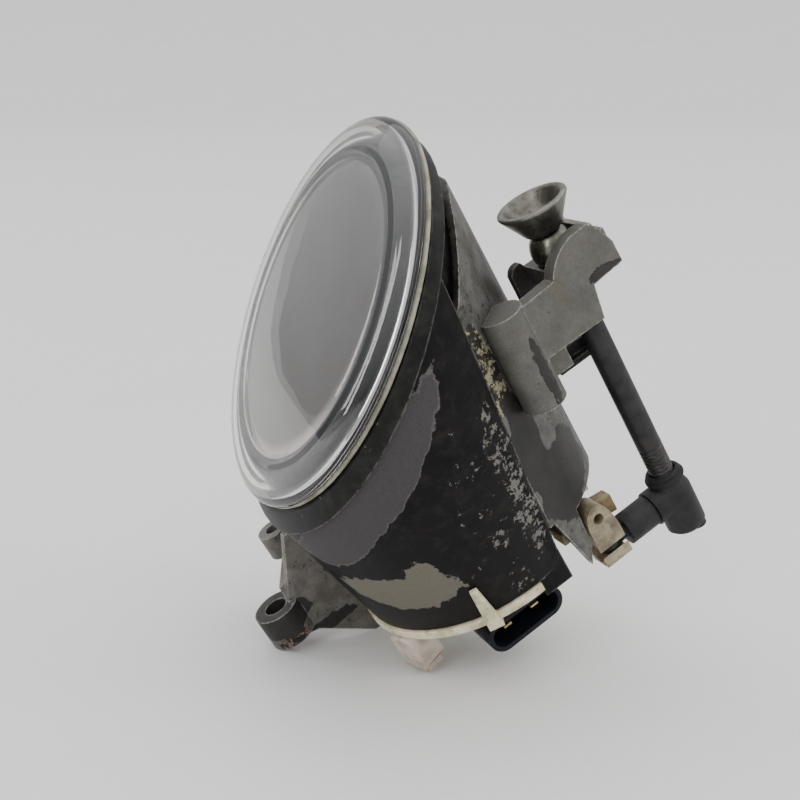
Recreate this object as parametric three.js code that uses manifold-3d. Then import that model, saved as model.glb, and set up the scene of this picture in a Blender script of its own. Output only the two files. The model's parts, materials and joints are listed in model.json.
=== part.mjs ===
// Round fog light with an outside aiming screw, in millimetres, +Z up.
//
// The lamp lies as it does on a bench: its optical axis leans back from upright, and it rests on the
// outboard bracket and on two latch blocks. Everything is laid out in the lamp's own frame, whose z is
// the optical axis (towards the glass), x points to the aiming screw and y to the side away from it.
// One outer group leans that frame over and stands the whole lamp on z = 0.

import * as THREE from 'three';
import { mergeVertices } from 'three/addons/utils/BufferGeometryUtils.js';
import Module from 'manifold-3d';

const wasm = await Module();
wasm.setup();

// ---------------------------------------------------------------- driving dimensions

const GAP = 0.3; // air between pieces that touch on the real lamp
const LEAN = THREE.MathUtils.degToRad(30); // lean of the optical axis on the bench

// glass and front ring: circles in a plane raked back from the optical axis
const RAKE = THREE.MathUtils.degToRad(39.4);
const RIM_HEIGHT = 91.2; // rim plane's centre above the rear face
const RIM_RADIUS = 55; // outside of the glass
const GLASS_WALL = 3;
const GLASS_SHOULDER = 7.5; // width of the rolled edge of the glass
const GLASS_RISE = 4.2; // height of the rolled edge
const GLASS_CROWN = 1.6; // rise of the shallow dome above the rolled edge
const SEAL_HEIGHT = 1.5;
const COLLAR_DROP = 7.1; // height of the front ring along the optical axis
const COLLAR_FLARE = 1.9; // how far the front ring widens towards the housing
const COLLAR_WALL = 5;

// housing: ruled from the raked front ring to a round rear opening
const WALL = 2.5;
const SHELL_STEP = 1.2; // the housing stands this much inside the front ring
const REAR_RADIUS = 37.5;
const REAR_FACE = 3.4; // height of the rear opening's edge
const REAR_OFFSET = 3.9; // rear opening's centre off the optical axis
const LUG_DROP = 2.6; // rear corner lug below the rear face
const LUG_X = 6.4; // where the rear cover ends and the housing's corner lug begins
const LUG_WIDTH = 9;

// side skirt: a curved plate over the screw side, parallel to the optical axis
const SKIRT_WALL = 2.6;
const SKIRT_BULGE = 3.4;
const RIDGE_X = 16.2;
const RIDGE_INSET = 1.3; // the ridge's foot lies this far inside the rear opening's rim
const RIDGE_TOP_Y = -46.2;
const SKIRT_X = 44;
const SKIRT_TURN_Y = 14; // where the skirt turns parallel to the optical plane
const SKIRT_TOP = 85;
const SKIRT_RIDGE_FOOT = 15.5;
const SKIRT_FOOT = 11.5; // lower edge beside the ball socket clip
const FIN_TIP = [23.5, -6.8];

// bracket on the skirt: barrel boss, web and cradle
const BARREL = { x: 31.2, y: -39, radius: 6.1, top: 77.4, bottom: 48.8, bore: 2.6, depth: 20 };
const WEB_NEAR = -43;
const WEB_WALL = 4.6;
const FAR_WALL_NEAR = -18.6;
const CRADLE_BACK = { x: 61.8, end: 65.8, low: 70.4, high: 81.6, near: -42, far: -18.9 };
const FAR_WALL = 3;
const CROSS_BAR = { low: 42.6, high: 51, end: 61.5, near: -21.6, far: -15.8 };

// aiming screw
const SCREW = { x: 57, y: -28, rod: 3.7, end: -14 };
const BALL = { z: 79.5, radius: 6.3, neck: 3.9 };
const CUP = { radius: 10, height: 8.4, foot: 5.4, rim: 1.7, socket: 3.2 };
const SOCKET_CLEAR = 0.5;

// travelling nut and its arm
const NUT = { top: -1.4, bottom: -19.4, width: 12, nub: 3.2 };
const ARM = { z: -7.1, radius: 4.9, neck: 2.3, ball: 3.4 };
const CLIP = { x: 32, width: 9.2, low: 4.6, high: 15.2, depth: 7.6 };
const BALL_X = 32; // joint ball's centre, the aiming lever's length from the pivot

// inside
const PIVOT_Z = 10; // tilt axis, parallel to y through the optical axis
const CORE_X = REAR_OFFSET; // bulb and reflector centre
const REFLECTOR = { apex: 14, focal: 12, inner: 10.2, outer: REAR_RADIUS - 5.9, wall: 1.8, flange: 1.4 };
const CARRIER = { low: 6, high: 9, outer: REAR_RADIUS - 10.5, bore: 10.2, ear: REAR_RADIUS - 7.7 };
const LEVER = { x: 19, inner: -12 }; // inner end of the aiming lever, under the carrier's lug
const PIN = { radius: 2.4, length: 4.4, bush: 4.6 };
const BULB = { base: 9.6, foot: -23.4, top: 12.6, glass: 5.4, glassTop: 36 };
const CONNECTOR = { x: 0.8, length: 26.4, height: 10, wall: 1.5, mouth: -22, back: -9.9, z: -15.2 };
const MASK = { wall: 1.8, foot: 20, top: 7.8 }; // foot and top measured square to the glass

// rear
const COVER = {
  radius: REAR_RADIUS + 0.7,
  wall: 2.6,
  bore: 16,
  spigot: REAR_RADIUS - 3.9,
  top: REAR_FACE - GAP,
};
const BLOCK = { width: 9, depth: 9.5, toe: 3, inset: 2.6 };
const FINGER = { angle: -112, length: 15.4, foot: 4.6, tip: 2.2, wall: 1.7 };

// outboard bracket on the other side
const NEAR_BOSS = { x: -55.6, y: 20, radius: 7.2, top: 14.7, bottom: 3.4, hole: 3.6 };
const FAR_BOSS = { x: -41.4, y: 50, radius: 5.4, top: 22.2, bottom: 13.4, hole: 2.6 };
const PLATE_NEAR = 17;
const PLATE_WALL = 3;

// the lamp stands on the near boss and on both latch blocks: this height of the bench plane is
// measured square to the bench, from the origin of the lamp's frame
const STAND = Math.sin(LEAN) * (NEAR_BOSS.x - NEAR_BOSS.radius) + Math.cos(LEAN) * NEAR_BOSS.bottom;
const standHeight = (x) => (STAND - Math.sin(LEAN) * x) / Math.cos(LEAN);

// ---------------------------------------------------------------- materials

const paint = (color, roughness, metalness) =>
  new THREE.MeshStandardMaterial({ color, roughness, metalness });

const FINISH = {
  glass: () => paint(0xd9dcd9, 0.08, 0),
  seal: () => paint(0xc6c7a6, 0.6, 0),
  black: () => paint(0x1d1d1f, 0.45, 0.2),
  casting: () => paint(0x83827d, 0.5, 0.8),
  darkCasting: () => paint(0x4c4b49, 0.6, 0.6),
  steel: () => paint(0x8b8a82, 0.35, 0.95),
  rod: () => paint(0x4a4a4a, 0.5, 0.8),
  nylon: () => paint(0xcfc7aa, 0.5, 0),
  whiteNylon: () => paint(0xded3cd, 0.4, 0),
  tan: () => paint(0x8d7a56, 0.6, 0),
  plastic: () => paint(0x222325, 0.5, 0),
  connector: () => paint(0x14151d, 0.3, 0),
  mirror: () => paint(0xd0d3d6, 0.08, 1),
  brass: () => paint(0xb08a4a, 0.35, 1),
  rubber: () => paint(0x1b1b1b, 0.85, 0),
};

// ---------------------------------------------------------------- solids

function toSolid(geometry) {
  const bare = geometry.index ? geometry.toNonIndexed() : geometry.clone();
  bare.deleteAttribute('normal');
  bare.deleteAttribute('uv');
  const merged = mergeVertices(bare, 1e-4);
  const mesh = new wasm.Mesh({
    numProp: 3,
    vertProperties: new Float32Array(merged.attributes.position.array),
    triVerts: new Uint32Array(merged.index.array),
  });
  return new wasm.Manifold(mesh);
}

function toGeometry(solid) {
  const mesh = solid.getMesh();
  const geometry = new THREE.BufferGeometry();
  const points = new Float32Array(mesh.vertProperties);
  geometry.setAttribute('position', new THREE.BufferAttribute(points, 3));
  geometry.setIndex(new THREE.BufferAttribute(new Uint32Array(mesh.triVerts), 1));
  geometry.computeVertexNormals();
  return geometry;
}

const join = (...geometries) => toGeometry(geometries.map(toSolid).reduce((a, b) => a.add(b)));
const cut = (body, ...tools) =>
  toGeometry(tools.map(toSolid).reduce((a, b) => a.subtract(b), toSolid(body)));
const common = (a, b) => toGeometry(toSolid(a).intersect(toSolid(b)));

function box(low, high) {
  const size = new THREE.Vector3(high[0] - low[0], high[1] - low[1], high[2] - low[2]);
  const middle = new THREE.Vector3(...low).addScaledVector(size, 0.5);
  return new THREE.BoxGeometry(size.x, size.y, size.z).translate(middle.x, middle.y, middle.z);
}

// a cylinder along z between two heights
function post(x, y, low, high, radius, sides = 32, topRadius = radius) {
  const body = new THREE.CylinderGeometry(topRadius, radius, high - low, sides);
  return body.rotateX(Math.PI / 2).translate(x, y, (low + high) / 2);
}

// a cylinder between two points
function bar(from, to, radius, sides = 24, endRadius = radius) {
  const a = new THREE.Vector3(...from);
  const b = new THREE.Vector3(...to);
  const along = b.clone().sub(a);
  const body = new THREE.CylinderGeometry(endRadius, radius, along.length(), sides);
  const turn = new THREE.Quaternion().setFromUnitVectors(new THREE.Vector3(0, 1, 0), along.normalize());
  const middle = a.add(b).multiplyScalar(0.5);
  return body.applyQuaternion(turn).translate(middle.x, middle.y, middle.z);
}

// a body of revolution about z; the profile is [radius, height] pairs that close on themselves
function turned(profile, sides = 64) {
  const points = profile.map(([r, z]) => new THREE.Vector2(r, z));
  if (THREE.ShapeUtils.area(points) < 0) points.reverse();
  return new THREE.LatheGeometry([...points, points[0]], sides).rotateX(Math.PI / 2);
}

// a plate in the x-z plane, from y = near to y = near + wall
function platePath(path, near, wall, curveSegments = 10) {
  const body = new THREE.ExtrudeGeometry(path, { depth: wall, bevelEnabled: false, curveSegments });
  return body.rotateX(Math.PI / 2).translate(0, near + wall, 0);
}

function outline(points) {
  return new THREE.Shape(points.map(([x, y]) => new THREE.Vector2(x, y)));
}

const plate = (points, near, wall) => platePath(outline(points), near, wall);

// a closed solid through rings of points that run the same way round
function loft(rings) {
  const count = rings[0].length;
  const position = [];
  const quad = (a, b, c, d) => position.push(...a, ...b, ...c, ...a, ...c, ...d);
  const flat = rings.map((ring) => ring.map((p) => p.toArray()));
  for (let k = 0; k + 1 < flat.length; k += 1) {
    for (let i = 0; i < count; i += 1) {
      const j = (i + 1) % count;
      quad(flat[k][i], flat[k][j], flat[k + 1][j], flat[k + 1][i]);
    }
  }
  const end = rings[0].map((p) => new THREE.Vector2(p.x, p.y));
  const faces = THREE.ShapeUtils.triangulateShape(end, []);
  const last = flat.length - 1;
  for (const [a, b, c] of faces) {
    position.push(...flat[0][a], ...flat[0][c], ...flat[0][b]);
    position.push(...flat[last][a], ...flat[last][b], ...flat[last][c]);
  }
  const geometry = new THREE.BufferGeometry();
  geometry.setAttribute('position', new THREE.Float32BufferAttribute(position, 3));
  return geometry;
}

// ---------------------------------------------------------------- the housing's own surfaces

const RING_SIDES = 60;

// a ring parallel to the glass, dropped along the optical axis
function rakedRing(radius, drop) {
  return Array.from({ length: RING_SIDES }, (_, i) => {
    const angle = (i / RING_SIDES) * 2 * Math.PI;
    const across = radius * Math.cos(angle);
    return new THREE.Vector3(
      across * Math.cos(RAKE),
      radius * Math.sin(angle),
      RIM_HEIGHT - drop + across * Math.sin(RAKE),
    );
  });
}

function rearRing(radius, height = 0) {
  return Array.from({ length: RING_SIDES }, (_, i) => {
    const angle = (i / RING_SIDES) * 2 * Math.PI;
    return new THREE.Vector3(REAR_OFFSET + radius * Math.cos(angle), radius * Math.sin(angle), height);
  });
}

const SHELL_FRONT = RIM_RADIUS + COLLAR_FLARE - SHELL_STEP;

// the housing's outer form, grown outwards by a clearance
function shellForm(grow, low = REAR_FACE, drop = COLLAR_DROP + GAP) {
  return loft([rearRing(REAR_RADIUS + grow, low), rakedRing(SHELL_FRONT + grow, drop)]);
}

// the same form shrunk by an inset, running on past both of its ends
function hollowForm(inset) {
  return loft([
    rearRing(REAR_RADIUS - inset, REAR_FACE - 1),
    rearRing(REAR_RADIUS - inset, REAR_FACE),
    rakedRing(SHELL_FRONT - inset, COLLAR_DROP + GAP),
    rakedRing(SHELL_FRONT - inset, COLLAR_DROP - 1),
  ]);
}

// the skirt's section at one height: ridge, bulged flank, flat side, far end
function skirtPath(height, inset, spare = 0) {
  const share = height / SKIRT_TOP;
  const ridgeY = THREE.MathUtils.lerp(RIDGE_INSET - REAR_RADIUS, RIDGE_TOP_Y, share);
  const ridge = new THREE.Vector2(RIDGE_X, ridgeY);
  const turn = new THREE.Vector2(SKIRT_X, -SKIRT_TURN_Y);
  const flank = turn.clone().sub(ridge);
  const out = new THREE.Vector2(flank.y, -flank.x).normalize();
  const steps = 8;
  const points = [];
  for (let i = 0; i <= steps; i += 1) {
    const s = i === 0 ? -spare / flank.length() : i / steps;
    const bulge = 4 * SKIRT_BULGE * Math.max(s * (1 - s), 0);
    points.push(ridge.clone().addScaledVector(flank, s).addScaledVector(out, bulge - inset));
  }
  points.push(new THREE.Vector2(SKIRT_X + 1 - inset, -SKIRT_TURN_Y / 2));
  points.push(new THREE.Vector2(SKIRT_X + 1 - inset, SKIRT_TURN_Y / 2));
  points.push(new THREE.Vector2(SKIRT_X - inset, SKIRT_TURN_Y + spare));
  return points;
}

function skirtRing(height, outerInset, innerInset, spare = 0) {
  const outer = skirtPath(height, outerInset, spare);
  const inner = skirtPath(height, innerInset, spare).reverse();
  return [...outer, ...inner].map((p) => new THREE.Vector3(p.x, p.y, height));
}

const SKIRT_LOW = -12;
const SKIRT_HIGH = 130;
const SKIRT_LEVELS = 6;

// the skirt twists a little with height, so its form goes up in short steps
function skirtForm(outerInset, innerInset, spare = 0) {
  return loft(Array.from({ length: SKIRT_LEVELS + 1 }, (_, i) => {
    const height = THREE.MathUtils.lerp(SKIRT_LOW, SKIRT_HIGH, i / SKIRT_LEVELS);
    return skirtRing(height, outerInset, innerInset, spare);
  }));
}

// ---------------------------------------------------------------- front

function glassProfile(inset) {
  const r = RIM_RADIUS - inset;
  const shoulder = GLASS_SHOULDER;
  const rise = GLASS_RISE;
  const points = [];
  const steps = 5;
  const crownRadius = r - shoulder;
  for (let i = 0; i <= 3; i += 1) {
    const s = i / 3;
    points.push([crownRadius * s, rise + 1 - inset + GLASS_CROWN * (1 - s * s)]);
  }
  for (let i = 1; i <= steps; i += 1) {
    const a = (i / steps) * (Math.PI / 2);
    points.push([crownRadius + shoulder * Math.sin(a), 1 - inset + rise * Math.cos(a)]);
  }
  return points;
}

function frontLens() {
  const outer = glassProfile(0);
  const inner = glassProfile(GLASS_WALL).filter(([, z]) => z > 0);
  const foot = GAP;
  const profile = [...outer, [RIM_RADIUS, foot], [RIM_RADIUS - GLASS_WALL, foot], ...inner.reverse()];
  return turned(profile, 60);
}

function lensSeal() {
  const r = RIM_RADIUS;
  const low = -SEAL_HEIGHT + GAP;
  return turned([[r - 4.4, 0], [r - 4.4, low], [r - 0.6, low], [r + 0.1, low / 2], [r - 0.6, 0]], 60);
}

// the ring that holds the glass, widening towards the housing
function frontCollar() {
  const top = SEAL_HEIGHT / Math.cos(RAKE);
  const outer = loft([rakedRing(RIM_RADIUS + COLLAR_FLARE, COLLAR_DROP), rakedRing(RIM_RADIUS, top)]);
  const inner = RIM_RADIUS - COLLAR_WALL;
  return cut(outer, loft([rakedRing(inner, COLLAR_DROP + 1), rakedRing(inner, top - 1)]));
}

// ---------------------------------------------------------------- housing

// everything outside the skirt's inner face, moved inwards by an inset
function flankTool(inset) {
  const outside = -20;
  return skirtForm(outside, inset, inset - SKIRT_WALL);
}

function housingShell() {
  const inner = hollowForm(WALL);
  const bedding = SKIRT_WALL + GAP;
  const outer = cut(shellForm(0), flankTool(bedding));
  const hollow = cut(inner, flankTool(bedding + WALL));
  const lug = box([LUG_X, 0.9 - REAR_RADIUS, -LUG_DROP], [LUG_X + LUG_WIDTH, 3.3 - REAR_RADIUS, 8]);
  const leverSlot = box([16, -40, -1], [44, -14, 17]);
  return cut(join(cut(outer, hollow), lug), leverSlot);
}

// the skirt's outline seen from the side: ridge on the left, fin at the foot
function skirtOutline() {
  return [
    [RIDGE_X - 4, SKIRT_RIDGE_FOOT],
    [RIDGE_X + 1.6, SKIRT_RIDGE_FOOT],
    FIN_TIP,
    [26.4, -1],
    [27, SKIRT_FOOT],
    [SKIRT_X + 3, SKIRT_FOOT],
    [SKIRT_X + 3, 108],
    [SKIRT_X - 6, 105],
    [RIDGE_X + 5, SKIRT_TOP + 2],
    [RIDGE_X - 4, SKIRT_TOP - 1],
  ];
}

function sideSkirt() {
  return common(skirtForm(0, SKIRT_WALL), plate(skirtOutline(), -60, 90));
}

// ---------------------------------------------------------------- bracket on the skirt

// web and cradle wall, as a silhouette in the optical plane
function webOutline() {
  const shape = new THREE.Shape();
  shape.moveTo(32, 76.6);
  shape.lineTo(46.5, 77.6);
  shape.quadraticCurveTo(49.5, 83.6, 56, 85.2);
  shape.lineTo(61.4, 85.4);
  shape.lineTo(63.8, 82.8);
  shape.lineTo(66.2, 77.4);
  shape.lineTo(66.4, 71.2);
  shape.lineTo(56.4, 70.2);
  shape.lineTo(55, 60.6);
  shape.lineTo(36.4, 60.6);
  shape.lineTo(32, 52);
  return shape;
}

function barrelBracket() {
  const { x, y, radius, top, bottom, bore, depth } = BARREL;
  const barrel = post(x, y, bottom, top, radius, 40);
  const web = platePath(webOutline(), WEB_NEAR, WEB_WALL);
  const foot = box([x - 4.6, y, bottom + 4], [x + 12, -28, top - 6]);
  const { x: backX, end, low, high, near, far } = CRADLE_BACK;
  const floor = box([50.6, near, low], [end, far, low + 5.6]);
  const back = box([backX, near, low], [end, far, high]);
  const ball = new THREE.SphereGeometry(BALL.radius + SOCKET_CLEAR, 32, 20);
  ball.translate(SCREW.x, SCREW.y, BALL.z);
  const stem = post(SCREW.x, SCREW.y, 60, 90, SCREW.rod + 0.8, 24);
  const threaded = post(x, y, bottom - 1, bottom + depth, bore, 20);
  return cut(join(barrel, web, foot, floor, back), ball, stem, threaded, skirtForm(-GAP, 12));
}

function cradleFarWall() {
  const shape = new THREE.Shape();
  shape.moveTo(46.2, 52);
  shape.lineTo(46.2, 74.6);
  shape.quadraticCurveTo(47.4, 77.6, 50.4, 77);
  shape.quadraticCurveTo(52, 73.6, 55.4, 73.2);
  shape.lineTo(66.8, 75);
  shape.lineTo(66.8, 66);
  shape.lineTo(58, 64);
  shape.lineTo(54, 52);
  return platePath(shape, FAR_WALL_NEAR, FAR_WALL);
}

function crossBar() {
  const { low, high, end, near, far } = CROSS_BAR;
  const beam = box([SKIRT_X + 1 + GAP, near, low], [end, far, high]);
  const relief = box([SKIRT_X + 6, near - 1, low + 2], [end - 4, near + 2.4, high - 2]);
  return cut(beam, relief);
}

// spring clip that keeps the ball in its cradle, with two small knobs on top
function ballClip() {
  const { x, high, far } = CRADLE_BACK;
  const strap = box([x + 1.5, WEB_NEAR + WEB_WALL + GAP, high + GAP], [x + 3.4, far + 2.6, high + 1.3]);
  const knobs = [-24.4, -20.6].map((y) => post(x + 2, y, high + 0.6, high + 2.6, 1.3, 16));
  return join(strap, ...knobs);
}

// ---------------------------------------------------------------- aiming screw (own frame: z = rod axis)

function screwCup() {
  const { radius, height, foot, rim, socket } = CUP;
  const low = BALL.radius - 0.9;
  return turned([
    [0, low], [foot, low], [radius, low + height], [radius - rim, low + height + 0.3],
    [socket + 1.6, low + 3.4], [socket, low + 3], [socket, low + 1.2], [0, low + 1.2],
  ], 40);
}

function screwBall() {
  const points = [];
  const steps = 12;
  const neckAngle = Math.asin(BALL.neck / BALL.radius);
  for (let i = 0; i <= steps; i += 1) {
    const a = neckAngle + (i / steps) * (Math.PI - 2 * neckAngle);
    points.push([BALL.radius * Math.sin(a), -BALL.radius * Math.cos(a)]);
  }
  const flat = BALL.radius * Math.cos(neckAngle);
  return turned([[0, -flat], ...points, [0, flat]], 32);
}

function screwRod() {
  const top = -BALL.radius * Math.cos(Math.asin(BALL.neck / BALL.radius)) - GAP;
  const bottom = SCREW.end - BALL.z;
  const { rod } = SCREW;
  return turned([[0, bottom], [rod - 1, bottom], [rod, bottom + 1], [rod, top], [0, top]], 24);
}

// ---------------------------------------------------------------- travelling nut

function nutHousing() {
  const { top, bottom, width } = NUT;
  const r = width / 2;
  const block = turned([
    [0, bottom], [r - 1.2, bottom], [r, bottom + 1.2], [r, top - 4], [r - 1.4, top], [0, top],
  ], 28);
  const nub = post(NUT.nub, 0, bottom - 2.4, bottom + 1, 2.6, 20);
  const boss = bar([-width / 2 - 2.4, 0, ARM.z], [0, 0, ARM.z], ARM.radius + 0.6, 24);
  const bore = post(0, 0, bottom + 2.4, top + 1, SCREW.rod + GAP, 24);
  return cut(join(block, nub, boss), bore);
}

function nutBoot() {
  const { rod } = SCREW;
  const low = NUT.top + GAP;
  const r = rod + GAP;
  return turned([
    [r, low], [r + 1.9, low], [r + 2, low + 0.8], [r + 1.1, low + 1.4], [r + 1.4, low + 2],
    [r + 0.5, low + 2.8], [r, low + 2.8],
  ], 28);
}

// arm from the nut to the ball joint, along -x from the screw axis
function nutArm() {
  const start = -NUT.width / 2 - 2.4 - GAP;
  const reach = BALL_X - SCREW.x;
  const neckFrom = reach + CLIP.width / 2 + 1.6;
  const shaft = bar([start, 0, ARM.z], [neckFrom, 0, ARM.z], ARM.radius, 24);
  const neck = bar([neckFrom + 0.5, 0, ARM.z], [reach, 0, ARM.z], ARM.neck, 20);
  const ball = new THREE.SphereGeometry(ARM.ball, 24, 16).translate(reach, 0, ARM.z);
  return join(shaft, neck, ball);
}

// ---------------------------------------------------------------- ball socket clip and lever

function socketClip() {
  const { x, width, low, high, depth } = CLIP;
  const { y } = SCREW;
  const { z, ball } = ARM;
  const left = x - width / 2;
  const right = x + width / 2;
  const shape = new THREE.Shape();
  shape.moveTo(left, z - low);
  shape.lineTo(right, z - low);
  shape.lineTo(right, z + low);
  shape.quadraticCurveTo(right - 0.6, z + high, x, z + high);
  shape.quadraticCurveTo(left, z + high, left, z + low + 3);
  const body = platePath(shape, y - depth / 2, depth);
  const seat = bar([left - 1, y, z], [right + 1, y, z], ball + GAP, 24);
  const split = box([left - 1, y - depth, z - 1.1], [right + 1, y, z + 1.1]);
  const eye = bar([x - 0.4, y - depth, z + high - 4.2], [x - 0.4, y + depth, z + high - 4.2], 1.7, 16);
  return cut(body, seat, split, eye);
}

// lever that carries the clip: from the reflector carrier out under the skirt
function aimLever() {
  const near = SCREW.y + CLIP.depth / 2 + GAP;
  const arm = plate([[22, 5.7], [41, 3], [41, -3], [24, -1]], near, 4.6);
  const link = box([LEVER.x, near, COVER.top + 2 * GAP], [26, LEVER.inner, CARRIER.low - GAP]);
  const tongue = plate([[20, 5.7], [24, 5.7], [23, 2], [19.6, 2]], near - 6, 7);
  return join(arm, link, tongue);
}

// ---------------------------------------------------------------- inside

function reflector() {
  const { apex, focal, inner, outer, wall, flange } = REFLECTOR;
  const height = (r) => apex + (r * r) / (4 * focal);
  const steps = 6;
  const face = [];
  for (let i = 0; i <= steps; i += 1) {
    const r = inner + ((outer - inner) * i) / steps;
    face.push([r, height(r)]);
  }
  const back = face.map(([r, z]) => [r + wall * 0.35, z - wall]).reverse();
  const rim = height(outer);
  return turned([...face, [outer + flange, rim], [outer + flange, rim - wall], ...back.slice(1)], 44);
}

function reflectorCarrier() {
  const { low, high, outer, bore, ear } = CARRIER;
  const disc = turned([
    [bore, low], [outer, low], [outer, high], [bore + 3, high], [bore + 3, 12], [bore, 12],
  ], 48);
  const ears = box([-4, -ear, low], [4, ear, high + 3.6]);
  const hub = post(0, 0, low - 1, 20, bore, 48);
  const clear = post(0, 0, high, 20, outer - 1, 48);
  const lug = box([14, -16, low], [25, -9, high]);
  return cut(join(disc, cut(ears, clear, hub), lug), hub);
}

function pivotPin(side) {
  const start = side * (CARRIER.ear + GAP);
  return bar([0, start, PIVOT_Z], [0, start + side * PIN.length, PIVOT_Z], PIN.radius, 20);
}

function pivotBush(side) {
  const start = side * (CARRIER.ear + 1.2);
  const end = side * (CARRIER.ear + 4.1);
  const sleeve = bar([0, start, PIVOT_Z], [0, end, PIVOT_Z], PIN.bush, 24);
  return cut(sleeve, bar([0, start - side, PIVOT_Z], [0, end + side, PIVOT_Z], PIN.radius + GAP, 24));
}

function bulbShield() {
  const r = BULB.glass + 2.6;
  const low = BULB.glassTop + 2;
  const cap = turned([
    [0, low + 2], [0, low + 3], [r, low + 1], [r, low - 5], [r - 1, low - 5], [r - 1, low],
  ], 32);
  const apexHeight = REFLECTOR.apex + ((REFLECTOR.inner + 3) ** 2) / (4 * REFLECTOR.focal);
  const legs = [-1, 1].map((side) => {
    const ring = [[side * (r - 0.5), low - 4], [side * (REFLECTOR.inner + 3), apexHeight + 1]];
    return bar([ring[0][0], 0, ring[0][1]], [ring[1][0], 0, ring[1][1]], 0.9, 12);
  });
  return join(cap, ...legs);
}

function bulbGlass() {
  const { glass, top, glassTop } = BULB;
  const low = top + GAP;
  const dome = 4;
  const profile = [[0, low], [glass, low], [glass, glassTop - dome]];
  for (let i = 1; i <= 6; i += 1) {
    const a = (i / 6) * (Math.PI / 2);
    profile.push([glass * Math.cos(a), glassTop - dome + dome * Math.sin(a)]);
  }
  return turned(profile, 28);
}

function bulbBase() {
  const { base, foot, top } = BULB;
  return turned([
    [0, foot], [base - 1, foot], [base, foot + 1], [base, 4], [base - 1.6, 5], [base - 1.6, top], [0, top],
  ], 40);
}

function stadium(length, height) {
  const r = height / 2;
  const half = length / 2 - r;
  const shape = new THREE.Shape();
  shape.absarc(half, 0, r, -Math.PI / 2, Math.PI / 2, false);
  shape.absarc(-half, 0, r, Math.PI / 2, (3 * Math.PI) / 2, false);
  return shape;
}

function bulbConnector() {
  const { x, length, height, wall, mouth, back, z } = CONNECTOR;
  const outer = platePath(stadium(length, height), mouth, back - mouth, 12).translate(x, 0, z);
  const inner = stadium(length - 2 * wall, height - 2 * wall);
  const hollow = platePath(inner, mouth - 1, back - mouth - 2, 12).translate(x, 0, z);
  return cut(outer, hollow);
}

function connectorPin(offset) {
  const { x, mouth, back, z } = CONNECTOR;
  return box([x + offset - 1.4, mouth + 3, z - 0.4], [x + offset + 1.4, back - 3 - GAP, z + 0.4]);
}

// trim between the reflector and the glass, following the housing's inside
function lightMask() {
  const { wall, foot, top } = MASK;
  const clear = WALL + GAP;
  const bedding = SKIRT_WALL + GAP + clear;
  const outer = cut(shellForm(-clear), flankTool(bedding));
  const inner = cut(shellForm(-clear - wall), flankTool(bedding + wall));
  const reach = 2 * RIM_RADIUS;
  const slab = box([-reach, -reach, -foot], [reach, reach, -top]);
  slab.rotateY(-RAKE).translate(0, 0, RIM_HEIGHT);
  return common(cut(outer, inner), slab);
}

// ---------------------------------------------------------------- rear

function rearCover() {
  const { radius, wall, bore, spigot, top } = COVER;
  const low = top - wall;
  const disc = turned([
    [bore, low], [radius, low], [radius, top], [spigot, top], [spigot, top + 3], [spigot - 2, top + 3],
    [spigot - 2, top], [bore, top],
  ], 60).translate(REAR_OFFSET, 0, 0);
  const corner = box([LUG_X - GAP, -45, -8], [46, -17, 8]);
  const leverRelief = box([LEVER.x - 0.7, -18, -8], [46, LEVER.inner + 0.7, 8]);
  return cut(join(disc, coverFinger()), corner, leverRelief, shellForm(GAP, REAR_FACE, COLLAR_DROP));
}

// tapered finger that runs up the outside of the housing from the cover's rim
function coverFinger() {
  const { angle, length, foot, tip, wall } = FINGER;
  const shape = outline([[-foot / 2, -1.4], [foot / 2, -1.4], [tip / 2, length], [-tip / 2, length]]);
  const body = platePath(shape, -wall / 2, wall + 3);
  body.rotateX(THREE.MathUtils.degToRad(11));
  body.translate(0, -REAR_RADIUS - 0.7, 0);
  body.rotateZ(THREE.MathUtils.degToRad(angle + 90));
  return body.translate(REAR_OFFSET, 0, 0);
}

function coverSeal() {
  const { bore } = COVER;
  return turned([[BULB.base + 1.6, -3], [bore - GAP, -3], [bore - GAP, 2.6], [BULB.base + 1.6, 2.6]], 48)
    .translate(CORE_X, 0, 0);
}

// a moulded block under the cover, whose toe reaches down to the bench
function latchBlock(angle, turn) {
  const reach = REAR_RADIUS - BLOCK.inset;
  const x = REAR_OFFSET + reach * Math.cos(angle);
  const y = reach * Math.sin(angle);
  const { width, depth, toe } = BLOCK;
  const halfWidth = width / 2 - 1.4;
  const halfDepth = depth / 2 - 1;
  const edge = x - Math.abs(Math.cos(turn)) * halfWidth - Math.abs(Math.sin(turn)) * halfDepth;
  const top = COVER.top - COVER.wall - GAP;
  const low = standHeight(edge);
  const body = box([-width / 2, -depth / 2, low + toe], [width / 2, depth / 2, top]);
  const foot = box([-halfWidth, -halfDepth, low], [halfWidth, halfDepth, low + toe + 1]);
  const screwWell = post(0, 0, low - 1, low + toe + 1.5, 2, 20);
  return cut(join(body, foot), screwWell).rotateZ(turn).translate(x, y, 0);
}

// ---------------------------------------------------------------- outboard bracket

function boss({ x, y, radius, top, bottom }) {
  return post(x, y, bottom, top, radius, 32);
}

function bossHole({ x, y, top, bottom, hole }) {
  return post(x, y, bottom - 1, top + 1, hole, 24);
}

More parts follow.
